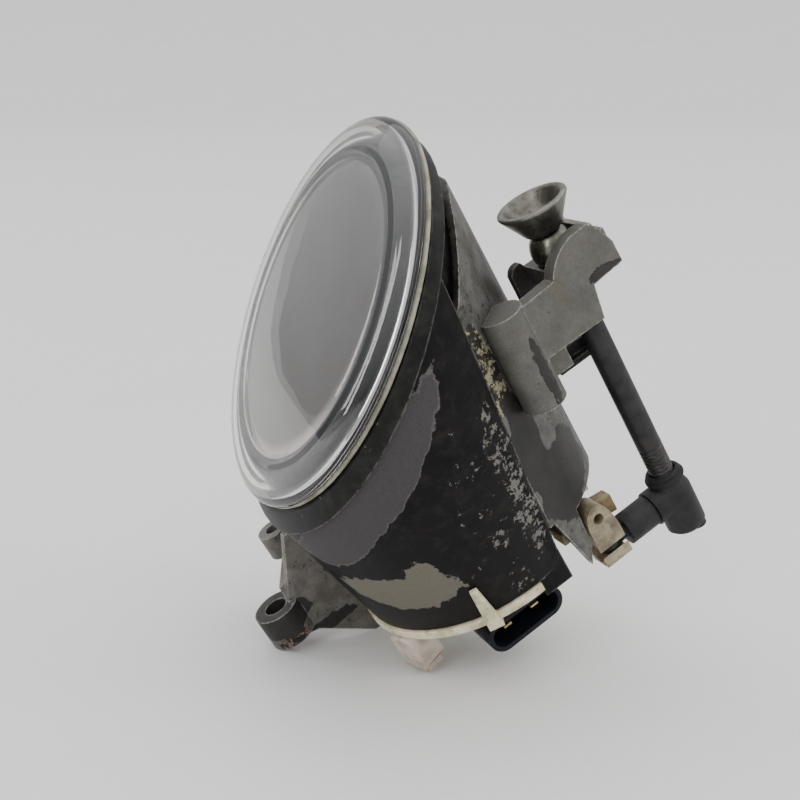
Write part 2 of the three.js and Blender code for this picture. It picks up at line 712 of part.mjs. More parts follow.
function outboardBracket() {
  const foot = plate([
    [NEAR_BOSS.x - 3, NEAR_BOSS.bottom], [NEAR_BOSS.x + 7, NEAR_BOSS.bottom - 2.4],
    [-34, standHeight(-34) + 1.6], [-20, -13], [-20, 34], [-42, 34], [NEAR_BOSS.x + 4, NEAR_BOSS.top],
  ], PLATE_NEAR, PLATE_WALL);
  const strutLow = NEAR_BOSS.bottom + 2;
  const strut = loft([strutLow, FAR_BOSS.top - 3].map((z) => [
    new THREE.Vector3(NEAR_BOSS.x + 4, NEAR_BOSS.y, z),
    new THREE.Vector3(NEAR_BOSS.x + 12, NEAR_BOSS.y, z),
    new THREE.Vector3(FAR_BOSS.x + 8, FAR_BOSS.y, z),
    new THREE.Vector3(FAR_BOSS.x + 3, FAR_BOSS.y, z),
  ]));
  const brace = box([FAR_BOSS.x, FAR_BOSS.y - 3, FAR_BOSS.bottom], [-10, FAR_BOSS.y + 1, FAR_BOSS.top - 2]);
  const parts = join(boss(NEAR_BOSS), boss(FAR_BOSS), foot, strut, brace);
  const below = loft([rearRing(REAR_RADIUS + 2, -40), rearRing(REAR_RADIUS + 2, REAR_FACE + 0.5)]);
  return cut(parts, bossHole(NEAR_BOSS), bossHole(FAR_BOSS), shellForm(GAP, REAR_FACE, COLLAR_DROP), below);
}

// ---------------------------------------------------------------- assembly

function piece(parent, name, geometry, finish) {
  const mesh = new THREE.Mesh(geometry, FINISH[finish]());
  mesh.name = name;
  parent.add(mesh);
  return mesh;
}

function group(parent, x = 0, y = 0, z = 0) {
  const g = new THREE.Group();
  g.position.set(x, y, z);
  parent.add(g);
  return g;
}

const lamp = new THREE.Group();
lamp.rotation.y = -LEAN;

const front = group(lamp, 0, 0, RIM_HEIGHT);
front.rotation.y = -RAKE;
piece(front, 'front_lens', frontLens(), 'glass');
piece(front, 'lens_seal', lensSeal(), 'seal');
piece(lamp, 'front_collar', frontCollar(), 'black');
piece(lamp, 'housing_shell', housingShell(), 'black');
piece(lamp, 'side_skirt', sideSkirt(), 'darkCasting');

piece(lamp, 'barrel_bracket', barrelBracket(), 'casting');
piece(lamp, 'cradle_far_wall', cradleFarWall(), 'casting');
piece(lamp, 'cross_bar', crossBar(), 'darkCasting');
piece(lamp, 'ball_clip', ballClip(), 'steel');

const screw = group(lamp, SCREW.x, SCREW.y, BALL.z);
piece(screw, 'screw_cup', screwCup(), 'steel');
piece(screw, 'screw_ball', screwBall(), 'steel');
piece(screw, 'screw_rod', screwRod(), 'rod');

const nut = group(lamp, SCREW.x, SCREW.y, 0);
piece(nut, 'nut_housing', nutHousing(), 'plastic');
piece(nut, 'nut_boot', nutBoot(), 'rubber');
piece(nut, 'nut_arm', nutArm(), 'plastic');

piece(lamp, 'socket_clip', socketClip(), 'nylon');
piece(lamp, 'aim_lever', aimLever(), 'tan');

const core = group(lamp, CORE_X, 0, 0);
piece(core, 'reflector', reflector(), 'mirror');
piece(core, 'reflector_carrier', reflectorCarrier(), 'plastic');
piece(core, 'pivot_pin_near', pivotPin(-1), 'steel');
piece(core, 'pivot_pin_far', pivotPin(1), 'steel');
piece(core, 'pivot_bush_near', pivotBush(-1), 'nylon');
piece(core, 'pivot_bush_far', pivotBush(1), 'nylon');
piece(core, 'bulb_shield', bulbShield(), 'mirror');
piece(core, 'bulb_glass', bulbGlass(), 'glass');
piece(core, 'bulb_base', bulbBase(), 'plastic');
piece(lamp, 'bulb_connector', bulbConnector(), 'connector');
piece(lamp, 'connector_pin_1', connectorPin(-5), 'brass');
piece(lamp, 'connector_pin_2', connectorPin(5), 'brass');
piece(lamp, 'light_mask', lightMask(), 'plastic');

piece(lamp, 'rear_cover', rearCover(), 'nylon');
piece(lamp, 'cover_seal', coverSeal(), 'rubber');
piece(lamp, 'latch_block_near', latchBlock(-2.79, 0.35), 'whiteNylon');
piece(lamp, 'latch_block_far', latchBlock(2.4, -0.8), 'whiteNylon');

piece(lamp, 'outboard_bracket', outboardBracket(), 'darkCasting');

const fogLight = new THREE.Group();
fogLight.add(lamp);
fogLight.updateMatrixWorld(true);
const extent = new THREE.Box3().setFromObject(fogLight, true);
const middle = extent.getCenter(new THREE.Vector3());
lamp.position.set(-middle.x, -middle.y, -extent.min.z);

export default fogLight;
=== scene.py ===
"""Looks of a round fog light with an outside aiming screw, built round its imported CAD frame."""

import json
import logging
import math
from dataclasses import dataclass
from enum import Enum
from functools import cache
from typing import Mapping, Sequence

import bpy
from mathutils import Matrix, Vector


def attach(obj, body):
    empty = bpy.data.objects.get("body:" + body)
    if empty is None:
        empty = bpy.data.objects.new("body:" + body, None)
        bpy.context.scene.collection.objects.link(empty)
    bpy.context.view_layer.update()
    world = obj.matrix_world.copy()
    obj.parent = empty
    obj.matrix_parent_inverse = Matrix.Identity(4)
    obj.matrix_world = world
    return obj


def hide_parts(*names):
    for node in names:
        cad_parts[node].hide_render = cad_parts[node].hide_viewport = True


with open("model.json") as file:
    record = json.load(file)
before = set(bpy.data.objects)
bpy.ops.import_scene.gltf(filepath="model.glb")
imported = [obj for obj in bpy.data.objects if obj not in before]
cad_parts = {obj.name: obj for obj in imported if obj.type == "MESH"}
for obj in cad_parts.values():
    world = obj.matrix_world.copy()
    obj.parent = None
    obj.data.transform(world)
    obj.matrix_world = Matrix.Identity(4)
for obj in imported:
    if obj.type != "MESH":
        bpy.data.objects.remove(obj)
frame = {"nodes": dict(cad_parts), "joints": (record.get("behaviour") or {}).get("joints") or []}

LOG = logging.getLogger("fog_light")
MM = 0.001
DOUBLED = 1e-3
DOUBLED_ON_AXIS = 2e-6
ON_AXIS = 1e-4
DOUBLED_IN_NODE = 3e-6
FLAT_DEGREES = 0.8
GAMMA = 2.2
BRIGHTEST = 0.9
Rgb = tuple[float, float, float]
Point = tuple[float, float, float]
Profile = Sequence[tuple[float, float]]
Material = bpy.types.Material
NodeTree = bpy.types.NodeTree
Object = bpy.types.Object
Socket = bpy.types.NodeSocket
Sockets = Mapping[str, Socket]


# ------------------------------------------------------------------ the lamp's own frame


class Body(str, Enum):
    """The CAD bodies that pieces ride on."""

    HOUSING = "housing"
    REFLECTOR = "reflector_unit"
    SCREW = "aiming_screw"
    NUT = "nut_carriage"


class Axis(Enum):
    """Places on the lamp that have a frame of their own."""

    GLASS = "glass"
    SCREW = "screw"


@dataclass(frozen=True)
class LampPlan:
    """Where the lamp's own frame lies, and the sizes that every sub-assembly shares, in millimetres."""

    rear_offset: float = 3.9
    pivot_height: float = 10.0
    rim_height: float = 91.2
    rake: float = math.radians(39.4)
    screw_x: float = 57.0
    screw_y: float = -28.0

    def joint(self, name: str) -> dict:
        """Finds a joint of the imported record.

        Args:
            name: the joint's name.

        Returns:
            The joint's entry in the record.
        """
        return next(j for j in frame["joints"] if j["name"] == name)

    def turn(self) -> Matrix:
        """Gives the lamp frame's directions.

        Returns:
            A 3x3 matrix whose columns are the lamp's x, y and z in the row frame.
        """
        optical = Vector(self.joint("screw_spin")["axis"]).normalized()
        across = Vector((0, 1, 0))
        return Matrix((across.cross(optical), across, optical)).transposed()

    def origin(self) -> Vector:
        """Gives the lamp frame's origin, the foot of the optical axis.

        Returns:
            The origin in the row frame, in metres.
        """
        pivot = Vector(self.joint("reflector_tilt")["pos_m"])
        return pivot - self.turn() @ Vector((self.rear_offset, 0, self.pivot_height)) * MM

    def place(self, axis: Axis) -> Matrix:
        """Gives the frame of one place on the lamp.

        Args:
            axis: which place.

        Returns:
            A 4x4 matrix from that place's millimetres to the row frame's metres.
        """
        base = Matrix.Translation(self.origin()) @ self.turn().to_4x4() @ Matrix.Scale(MM, 4)
        if axis is Axis.GLASS:
            rise = Matrix.Translation((0, 0, self.rim_height))
            return base @ rise @ Matrix.Rotation(-self.rake, 4, "Y")
        return base @ Matrix.Translation((self.screw_x, self.screw_y, 0))


PLAN = LampPlan()


# ------------------------------------------------------------------ modelling by hand


def clear_selection() -> None:
    """Leaves object mode with nothing selected."""
    if bpy.context.mode != "OBJECT":
        bpy.ops.object.mode_set(mode="OBJECT")
    bpy.ops.object.select_all(action="DESELECT")


def activate(obj: Object) -> None:
    """Selects one object alone and makes it the active one.

    Args:
        obj: the object.
    """
    clear_selection()
    obj.select_set(True)
    bpy.context.view_layer.objects.active = obj


def open_mesh(obj: Object) -> None:
    """Opens one object in edit mode with all of its mesh selected.

    Args:
        obj: the object.
    """
    activate(obj)
    bpy.ops.object.mode_set(mode="EDIT")
    bpy.ops.mesh.select_mode(type="VERT")
    bpy.ops.mesh.select_all(action="SELECT")


def close_mesh(obj: Object) -> None:
    """Merges doubled points, turns the faces outwards and leaves edit mode.

    A body that starts from a ring on the axis keeps that tiny ring, so its points merge less freely.

    Args:
        obj: the object in edit mode, whose dimensions are still those of its first ring.
    """
    bpy.ops.mesh.select_all(action="SELECT")
    bpy.ops.mesh.remove_doubles(threshold=DOUBLED if max(obj.dimensions) > 1 else DOUBLED_ON_AXIS)
    bpy.ops.mesh.normals_make_consistent(inside=False)
    bpy.ops.object.mode_set(mode="OBJECT")


def settle(obj: Object, place: Matrix) -> None:
    """Puts an object drawn in millimetres at its place and moves that place into its mesh.

    Args:
        obj: the object.
        place: the frame it was drawn in.
    """
    activate(obj)
    obj.matrix_world = place @ obj.matrix_world
    bpy.ops.object.transform_apply(location=True, rotation=True, scale=True)


def soften(obj: Object, width: float, segments: int = 2, angle: float = 32.0,
           clamp: bool = False) -> None:
    """Rounds the sharp edges and shades the mesh smooth between the ones that stay.

    Args:
        obj: the object.
        width: the rounding, in the mesh's own units.
        segments: faces across each rounding.
        angle: edges that turn by more than this many degrees are rounded.
        clamp: whether a rounding stops where it would meet the next.
    """
    activate(obj)
    if width > 0:
        bevel = obj.modifiers.new("rounding", "BEVEL")
        bevel.width = width
        bevel.segments = segments
        bevel.limit_method = "ANGLE"
        bevel.angle_limit = math.radians(angle)
        bevel.use_clamp_overlap = clamp
        bevel.miter_outer = "MITER_ARC"
        bpy.ops.object.modifier_apply(modifier=bevel.name)
    bpy.ops.object.shade_smooth_by_angle(angle=math.radians(angle))


def revolved(name: str, profile: Profile, sides: int = 96) -> Object:
    """Draws a body of revolution out of a circle, ring by ring.

    Args:
        name: the new piece's name.
        profile: radius and height of each ring; it ends where it starts, or both ends lie on the axis.
        sides: faces around it.

    Returns:
        The closed body, in millimetres about z.
    """
    clear_selection()
    radius, height = profile[0]
    bpy.ops.mesh.primitive_circle_add(vertices=sides, radius=max(radius, ON_AXIS), location=(0, 0, height))
    obj = bpy.context.object
    obj.name = name
    bpy.ops.object.transform_apply(location=True)
    open_mesh(obj)
    for (start, low), (end, high) in zip(profile, profile[1:]):
        ratio = max(end, ON_AXIS) / max(start, ON_AXIS)
        bpy.ops.mesh.extrude_region_move(TRANSFORM_OT_translate={"value": (0, 0, high - low)})
        bpy.ops.transform.resize(value=(ratio, ratio, 1), center_override=(0, 0, high))
    close_mesh(obj)
    return obj


def from_node(node: str, name: str, width: float = 0.25, segments: int = 2, angle: float = 32.0,
              clamp: bool = False) -> Object:
    """Starts a detailed piece from a copy of a CAD node: merged, cleaned and with rounded edges.

    Args:
        node: the CAD node.
        name: the new piece's name.
        width: the rounding of its edges, in millimetres.
        segments: faces across each rounding.
        angle: edges that turn by more than this many degrees are rounded.
        clamp: whether a rounding stops where it would meet the next.

    Returns:
        The new piece, in the row frame.
    """
    clear_selection()
    source = frame["nodes"][node]
    obj = bpy.data.objects.new(name, source.data.copy())
    bpy.context.scene.collection.objects.link(obj)
    obj.data.materials.clear()
    open_mesh(obj)
    bpy.ops.mesh.remove_doubles(threshold=DOUBLED_IN_NODE)
    bpy.ops.mesh.dissolve_limited(angle_limit=math.radians(FLAT_DEGREES))
    bpy.ops.object.mode_set(mode="OBJECT")
    soften(obj, width * MM, segments, angle, clamp)
    return obj


# ------------------------------------------------------------------ shader building


class Recipe:
    """One material or node group under construction."""

    def __init__(self, tree: NodeTree) -> None:
        """Takes over a node tree.

        Args:
            tree: the tree that nodes are added to.
        """
        self.tree = tree

    def add(self, kind: str, inputs: dict | None = None, **settings) -> bpy.types.Node:
        """Adds a node, with values or links on its inputs.

        Args:
            kind: the node's type.
            inputs: a value or a socket for each input, by name or place.
            **settings: the node's own settings.

        Returns:
            The node.
        """
        node = self.tree.nodes.new(kind)
        for key, value in settings.items():
            setattr(node, key, value)
        for key, value in (inputs or {}).items():
            self.feed(node.inputs[key], value)
        return node

    def feed(self, socket: Socket, value: object) -> None:
        """Links a socket, or sets its own value.

        Args:
            socket: the input.
            value: another node's output, or a plain value.
        """
        if isinstance(value, Socket):
            self.tree.links.new(value, socket)
        elif socket.type == "RGBA" and len(value) == 3:
            socket.default_value = (*value, 1.0)
        else:
            socket.default_value = value

    def math(self, operation: str, a: object, b: object = 0.0, clamp: bool = False) -> Socket:
        """Works out one value from two.

        Args:
            operation: what the node does.
            a: the first value.
            b: the second value.
            clamp: whether the result stays from 0 to 1.

        Returns:
            The result's socket.
        """
        node = self.add("ShaderNodeMath", {0: a, 1: b}, operation=operation, use_clamp=clamp)
        return node.outputs[0]

    def times(self, a: object, b: object) -> Socket:
        """Multiplies two values.

        Args:
            a: the first value.
            b: the second value.

        Returns:
            The product's socket.
        """
        return self.math("MULTIPLY", a, b)

    def without(self, value: object) -> Socket:
        """Gives what a share leaves of 1.

        Args:
            value: the share.

        Returns:
            The rest's socket.
        """
        return self.math("SUBTRACT", 1.0, value)

    def mix(self, factor: object, a: object, b: object) -> Socket:
        """Blends two colours.

        Args:
            factor: the share of the second.
            a: the first colour.
            b: the second colour.

        Returns:
            The colour's socket.
        """
        node = self.add("ShaderNodeMix", {0: factor, 6: a, 7: b}, data_type="RGBA")
        return node.outputs[2]

    def blend(self, factor: object, a: object, b: object) -> Socket:
        """Blends two numbers.

        Args:
            factor: the share of the second.
            a: the first number.
            b: the second number.

        Returns:
            The number's socket.
        """
        return self.add("ShaderNodeMix", {0: factor, 2: a, 3: b}, data_type="FLOAT").outputs[0]

    def noise(self, place: object, scale: object, detail: float = 4.0, rough: float = 0.55) -> Socket:
        """Reads fractal noise.

        Args:
            place: where it is read.
            scale: how fine it is.
            detail: how many octaves.
            rough: how strong the fine ones are.

        Returns:
            The noise's socket, from 0 to 1.
        """
        node = self.add("ShaderNodeTexNoise", {"Vector": place, "Scale": scale, "Detail": detail,
                                               "Roughness": rough})
        return node.outputs["Fac"]

    def ramp(self, value: object, low: object, high: object) -> Socket:
        """Spreads a value smoothly between two limits to 0 and 1.

        Args:
            value: the value.
            low: where the result is 0.
            high: where the result is 1.

        Returns:
            The result's socket.
        """
        node = self.add("ShaderNodeMapRange", {"Value": value, "From Min": low, "From Max": high},
                        interpolation_type="SMOOTHSTEP")
        return node.outputs["Result"]

    def dot(self, a: object, b: object) -> Socket:
        """Gives the dot product of two vectors.

        Args:
            a: the first vector.
            b: the second vector.

        Returns:
            The product's socket.
        """
        return self.add("ShaderNodeVectorMath", {0: a, 1: b}, operation="DOT_PRODUCT").outputs["Value"]

    def use(self, group: NodeTree, values: dict) -> bpy.types.Node:
        """Places a shared group.

        Args:
            group: the group.
            values: its inputs.

        Returns:
            The group's node.
        """
        return self.add("ShaderNodeGroup", values, node_tree=group)


class SharedEffects:
    """The node groups that several finishes use: grain, torn patches, flecks, an edge mask for wear and
    painted highlights, dust, scratches.
    """

    def __init__(self) -> None:
        """Builds every group once."""
        self.grain = self.make_grain()
        self.torn_patch = self.make_torn_patch()
        self.flecks = self.make_flecks()
        self.worn_edge_and_highlight = self.make_worn_edge_and_highlight()
        self.dust = self.make_dust()
        self.scratches = self.make_scratches()

    def start(self, name: str, outputs: Sequence[str], **inputs: object) -> tuple[Recipe, Sockets, Sockets]:
        """Starts a group with its sockets; every group is given its Place first.

        Args:
            name: the group's name.
            outputs: the name of each value it gives.
            **inputs: each other input with its starting value, or None for a vector without one.

        Returns:
            The recipe, the sockets it is given and the sockets it has to feed.
        """
        tree = bpy.data.node_groups.new(name, "ShaderNodeTree")
        for label, value in {"Place": None, **inputs}.items():
            kind = "NodeSocketFloat" if isinstance(value, float) else "NodeSocketVector"
            socket = tree.interface.new_socket(label, in_out="INPUT", socket_type=kind)
            if value is not None:
                socket.default_value = value
        for label in outputs:
            tree.interface.new_socket(label, in_out="OUTPUT", socket_type="NodeSocketFloat")
        recipe = Recipe(tree)
        return recipe, recipe.add("NodeGroupInput").outputs, recipe.add("NodeGroupOutput").inputs

    def make_grain(self) -> NodeTree:
        """Builds the fine grain of castings, paint and moulded plastic.

        Returns:
            The group, which gives Grain and Cloud from 0 to 1.
        """
        r, given, out = self.start("fine_grain", ["Grain", "Cloud"], Scale=1.0)
        place, scale = given["Place"], given["Scale"]
        fine = r.noise(place, scale, 6.0, 0.65)
        coarse = r.noise(place, r.times(scale, 0.12), 4.0, 0.6)
        r.feed(out["Grain"], fine)
        r.feed(out["Cloud"], coarse)
        return r.tree

    def make_torn_patch(self) -> NodeTree:
        """Builds a patch with a ragged edge, where a coat of paint has come away.

        Returns:
            The group, which gives Patch, 1 inside it, and Rim, 1 on its edge.
        """
        r, given, out = self.start("torn_patch", ["Patch", "Rim"], Centre=None, Along=None, Across=None,
                                   Ragged=0.5, Scale=0.2)
        place = given["Place"]
        away = r.add("ShaderNodeVectorMath", {0: place, 1: given["Centre"]}, operation="SUBTRACT")
        u = r.dot(away.outputs[0], given["Along"])
        v = r.dot(away.outputs[0], given["Across"])
        reach = r.math("SQRT", r.math("ADD", r.times(u, u), r.times(v, v)))
        tear = r.math("SUBTRACT", r.noise(place, given["Scale"], 7.0, 0.6), 0.5)
        level = r.math("ADD", r.without(reach), r.times(tear, given["Ragged"]))
        r.feed(out["Patch"], r.ramp(level, 0.0, 0.02))
        r.feed(out["Rim"], r.times(r.ramp(level, -0.03, 0.0), r.ramp(level, 0.05, 0.01)))
        return r.tree

    def make_flecks(self) -> NodeTree:
        """Builds scattered small chips.

        Returns:
            The group, which gives Flecks, 1 on a chip.
        """
        r, given, out = self.start("flecks", ["Flecks"], Scale=0.5, Cover=0.3)
        place, scale = given["Place"], given["Scale"]
        fine = r.noise(place, scale, 5.0, 0.7)
        broad = r.noise(place, r.times(scale, 0.3), 3.0, 0.5)
        both = r.math("ADD", r.times(fine, 0.6), r.times(broad, 0.4))
        edge = r.math("SUBTRACT", 0.68, r.times(given["Cover"], 0.36))
        r.feed(out["Flecks"], r.ramp(both, edge, r.math("ADD", edge, 0.012)))
        return r.tree

    def make_worn_edge_and_highlight(self) -> NodeTree:
        """Builds the edge mask, part wear and part painted highlight, from how far a rounded normal leaves
        the true one.

        Returns:
            The group, which gives Wear from 0 to 1.
        """
        r, given, out = self.start("worn_edge_and_highlight", ["Wear"], Width=0.0008, Scale=0.6, Amount=1.0)
        bevel = r.add("ShaderNodeBevel", {"Radius": given["Width"]}, samples=4)
        normal = r.add("ShaderNodeNewGeometry")
        turn = r.without(r.dot(bevel.outputs[0], normal.outputs["Normal"]))
        broken = r.noise(given["Place"], given["Scale"], 5.0, 0.65)
        mask = r.times(r.ramp(turn, 0.004, 0.12), r.ramp(broken, 0.38, 0.56))
        r.feed(out["Wear"], r.math("MULTIPLY", mask, given["Amount"], clamp=True))
        return r.tree

    def make_dust(self) -> NodeTree:
        """Builds dust that lies thicker on faces that look up.

        Returns:
            The group, which gives Dust from 0 to 1.
        """
        r, given, out = self.start("dust", ["Dust"], Scale=0.1, Amount=0.3)
        normal = r.add("ShaderNodeNewGeometry")
        up = r.ramp(r.dot(normal.outputs["Normal"], (0.0, 0.0, 1.0)), -0.5, 1.0)
        cloud = r.ramp(r.noise(given["Place"], given["Scale"], 6.0, 0.65), 0.3, 0.75)
        share = r.math("ADD", 0.35, r.times(up, 0.65))
        r.feed(out["Dust"], r.times(r.times(cloud, share), given["Amount"]))
        return r.tree

    def make_scratches(self) -> NodeTree:
        """Builds fine scratches and tool marks that run one way.

        Returns:
            The group, which gives Lines from 0 to 1.
        """
        r, given, out = self.start("scratches", ["Lines"], Stretch=(1.0, 1.0, 20.0), Scale=0.5)
        drawn = r.add("ShaderNodeVectorMath", {0: given["Place"], 1: given["Stretch"]},
                      operation="MULTIPLY")
        r.feed(out["Lines"], r.noise(drawn.outputs[0], given["Scale"], 3.0, 0.6))
        return r.tree


EFFECTS = SharedEffects()


@dataclass(frozen=True)
class Patch:
    """One torn patch, in the lamp's frame, in millimetres."""

    centre: Point
    along: Point
    length: float
    across: Point
    breadth: float
    ragged: float = 0.55
    scale: float = 0.16


class Paintwork(Recipe):
    """A material under construction, with its shader and its place in the lamp's frame."""

    def __init__(self, name: str) -> None:
        """Starts a material.

        Args:
            name: the material's name.
        """
        self.material = bpy.data.materials.new(name)
        self.material.use_nodes = True
        super().__init__(self.material.node_tree)
        self.tree.nodes.clear()
        self.shader = self.add("ShaderNodeBsdfPrincipled")
        end = self.add("ShaderNodeOutputMaterial")
        self.tree.links.new(self.shader.outputs[0], end.inputs[0])
        back = PLAN.turn().transposed()
        spot = self.add("ShaderNodeTexCoord").outputs["Object"]
        shift = back @ PLAN.origin() * -1000.0
        mapping = self.add("ShaderNodeMapping", {"Vector": spot, "Location": shift,
                                                 "Rotation": back.to_euler(), "Scale": (1000.0,) * 3})
        self.place = mapping.outputs[0]

    def grain(self, scale: float) -> tuple[Socket, Socket]:
        """Adds the fine grain.

        Args:
            scale: grains per millimetre, roughly.

        Returns:
            The grain's and the cloud's sockets.
        """
        node = self.use(EFFECTS.grain, {"Place": self.place, "Scale": scale})
        return node.outputs["Grain"], node.outputs["Cloud"]

    def patch(self, patch: Patch) -> tuple[Socket, Socket]:
        """Adds a torn patch.

        Args:
            patch: its place and shape.

        Returns:
            The patch's and the rim's sockets.
        """
        along = Vector(patch.along).normalized() / patch.length
        across = Vector(patch.across).normalized() / patch.breadth
        node = self.use(EFFECTS.torn_patch, {
            "Place": self.place, "Centre": patch.centre, "Along": along, "Across": across,
            "Ragged": patch.ragged, "Scale": patch.scale})
        return node.outputs["Patch"], node.outputs["Rim"]

    def flecks(self, scale: float, cover: object) -> Socket:
        """Adds scattered chips.

        Args:
            scale: how fine they are.
            cover: their share of the surface.

        Returns:
            The chips' socket.
        """
        return self.use(EFFECTS.flecks, {"Place": self.place, "Scale": scale, "Cover": cover}).outputs[0]

    def wear_and_highlight(self, width: float = 0.8, amount: float = 1.0, scale: float = 0.6) -> Socket:
        """Adds the edge mask: worn edges, and a painted highlight where a finish lightens them.

        Args:
            width: how far it reaches, in millimetres.
            amount: its most.
            scale: how finely it is broken up.

        Returns:
            The wear's socket.
        """
        node = self.use(EFFECTS.worn_edge_and_highlight, {"Place": self.place, "Width": width * MM,
                                            "Amount": amount, "Scale": scale})
        return node.outputs[0]

    def dust(self, amount: float = 0.3, scale: float = 0.1) -> Socket:
        """Adds dust.

        Args:
            amount: its most.
            scale: how fine its clouds are.

        Returns:
            The dust's socket.
        """
        return self.use(EFFECTS.dust, {"Place": self.place, "Scale": scale, "Amount": amount}).outputs[0]

    def scratches(self, stretch: Point, scale: float) -> Socket:
        """Adds scratches.

        Args:
            stretch: the stretch of each direction; they run across the greatest.
            scale: how fine they are.

        Returns:
            The scratches' socket.
        """
        return self.use(EFFECTS.scratches, {"Place": self.place, "Stretch": stretch,
                                            "Scale": scale}).outputs[0]

    def dress(self, colour: object, roughness: object, metallic: object = 0.0, height: object = None,
              strength: float = 0.2, depth: float = 0.1, **plain: float) -> Material:
        """Feeds the shader.

        Args:
            colour: the base colour.
            roughness: its roughness.
            metallic: its share of metal.
            height: the relief, if it has one.
            strength: how much of the relief shows.
            depth: the relief's depth, in millimetres.
            **plain: other sockets' own values, with _ for a space.

        Returns:
            The finished material.
        """
        self.feed(self.shader.inputs["Base Color"], colour)
        self.feed(self.shader.inputs["Roughness"], roughness)
        self.feed(self.shader.inputs["Metallic"], metallic)
        if height is not None:
            bump = self.add("ShaderNodeBump", {"Strength": strength, "Distance": depth * MM,
                                               "Height": height})
            self.feed(self.shader.inputs["Normal"], bump.outputs[0])
        for key, value in plain.items():
            self.feed(self.shader.inputs[key.replace("_", " ")], value)
        return self.material


# ------------------------------------------------------------------ finishes


def tone(red: int, green: int, blue: int, lift: float = 1.0) -> Rgb:
    """Turns a seen shade, from 0 to 255 a channel, into a linear colour.

    Args:
        red: the red channel.
        green: the green channel.
        blue: the blue channel.
        lift: how much lighter the surface is than it looks.

    Returns:
        The linear colour.
    """
    return tuple(min(((c / 255) ** GAMMA) * lift, BRIGHTEST) for c in (red, green, blue))


def darker(colour: Rgb, share: float) -> Rgb:
    """Darkens a colour.

    Args:
        colour: the colour.
        share: how much of it is left.

    Returns:
        The darker colour.
    """
    return tuple(c * share for c in colour)


PRIMER_SPOTS = (
    Patch((-17.0, -48.0, 62.5), (-0.583, 0.524, -0.622), 27.0, (0.652, -0.147, -0.736), 7.2, 0.6, 0.2),
    Patch((-33.0, -34.5, 49.0), (-0.583, 0.524, -0.622), 24.0, (0.652, -0.147, -0.736), 8.5, 0.6, 0.2),
)
BARE_SPOTS = (
    Patch((-27.5, -27.5, 21.5), (20.0, -27.0, -4.5), 17.5, (0.1, 0.35, -1.0), 7.4, 0.8, 0.36),
    Patch((-20.5, -35.5, 24.5), (0.3, 0.2, -1.0), 8.0, (0.75, -0.6, 0.0), 4.8, 0.9, 0.4),
)
CHIPPED_AREA = Patch((5.0, -43.0, 33.0), (0.12, -0.25, 1.0), 30.0, (1.0, 0.1, 0.0), 13.0, 1.3, 0.08)
CHIPPED_EDGE = Patch((12.0, -43.0, 36.0), (0.12, -0.25, 1.0), 24.0, (1.0, 0.1, 0.0), 4.6, 1.7, 0.22)


@dataclass(frozen=True)
class FlakedPaint:
    """Satin black paint on the housing, flaked off to grey primer and to bare metal."""

    name: str = "flaked_black_paint"
    paint: Rgb = tone(24, 22, 23, 0.7)
    faded: Rgb = tone(38, 37, 36, 0.8)
    primer: Rgb = tone(74, 71, 72, 0.9)
    metal: Rgb = tone(104, 101, 90, 1.0)
    chip: Rgb = tone(110, 107, 106, 1.0)
    torn: Rgb = tone(128, 124, 120)

    def material(self) -> Material:
        """Builds the finish.

        Returns:
            The material.
        """
        r = Paintwork(self.name)
        grain, cloud = r.grain(2.2)
        colour = r.mix(r.ramp(cloud, 0.45, 0.75), self.paint, self.faded)
        coat = 0.0
        rough = r.blend(cloud, 0.38, 0.56)
        near = r.ramp(r.dot(r.place, (0.0, -1.0, 0.0)), 0.0, 5.0)
        for spots, shade in ((PRIMER_SPOTS, self.primer), (BARE_SPOTS, self.metal)):
            (one, one_rim), (two, two_rim) = (r.patch(spot) for spot in spots)
            patch = r.times(near, r.math("MAXIMUM", one, two))
            rim = r.math("MAXIMUM", r.times(one_rim, r.without(two)), r.times(two_rim, r.without(one)))
            tint = r.mix(r.ramp(grain, 0.35, 0.7), shade, darker(shade, 0.78))
            colour = r.mix(patch, colour, tint)
            colour = r.mix(r.times(r.times(rim, near), 0.32), colour, self.torn)
            coat = r.math("MAXIMUM", coat, patch)
            rough = r.blend(patch, rough, 0.62)
        zone, _ = r.patch(CHIPPED_AREA)
        edge, _ = r.patch(CHIPPED_EDGE)
        cover = r.math("ADD", 0.02, r.times(r.times(zone, near), 0.28))
        flecks = r.math("MAXIMUM", r.flecks(0.42, cover), r.times(r.flecks(0.7, 0.42), r.times(edge, near)))
        flecks = r.math("MAXIMUM", flecks, r.wear_and_highlight(0.9, 0.9, 0.5))
        colour = r.mix(flecks, colour, r.mix(grain, self.chip, self.metal))
        coat = r.math("MAXIMUM", coat, flecks)
        colour = r.mix(r.dust(0.03, 0.08), colour, tone(140, 134, 124))
        height = r.math("SUBTRACT", r.times(grain, 0.25), coat)
        return r.dress(colour, rough, 0.0, height, 0.5, 0.16, Specular_IOR_Level=0.1)


@dataclass(frozen=True)
class RingPaint:
    """Satin black paint on the front ring, dusty, with a few chips and an edge lightened by wear and by a
    painted highlight.
    """

    name: str = "ring_black_paint"
    paint: Rgb = tone(28, 29, 28, 0.7)
    faded: Rgb = tone(46, 46, 45, 0.8)

    def material(self) -> Material:
        """Builds the finish.

        Returns:
            The material.
        """
        r = Paintwork(self.name)
        grain, cloud = r.grain(1.8)
        colour = r.mix(r.ramp(cloud, 0.4, 0.8), self.paint, self.faded)
        # Lighter edges: part wear, part painted highlight.
        colour = r.mix(r.times(r.wear_and_highlight(0.7, 0.8, 0.5), 0.8), colour, tone(122, 118, 112))
        colour = r.mix(r.flecks(0.8, 0.12), colour, tone(110, 106, 100))
        colour = r.mix(r.dust(0.04, 0.07), colour, tone(140, 134, 124))
        rough = r.blend(cloud, 0.36, 0.55)
        return r.dress(colour, rough, 0.0, grain, 0.18, 0.08, Specular_IOR_Level=0.12)


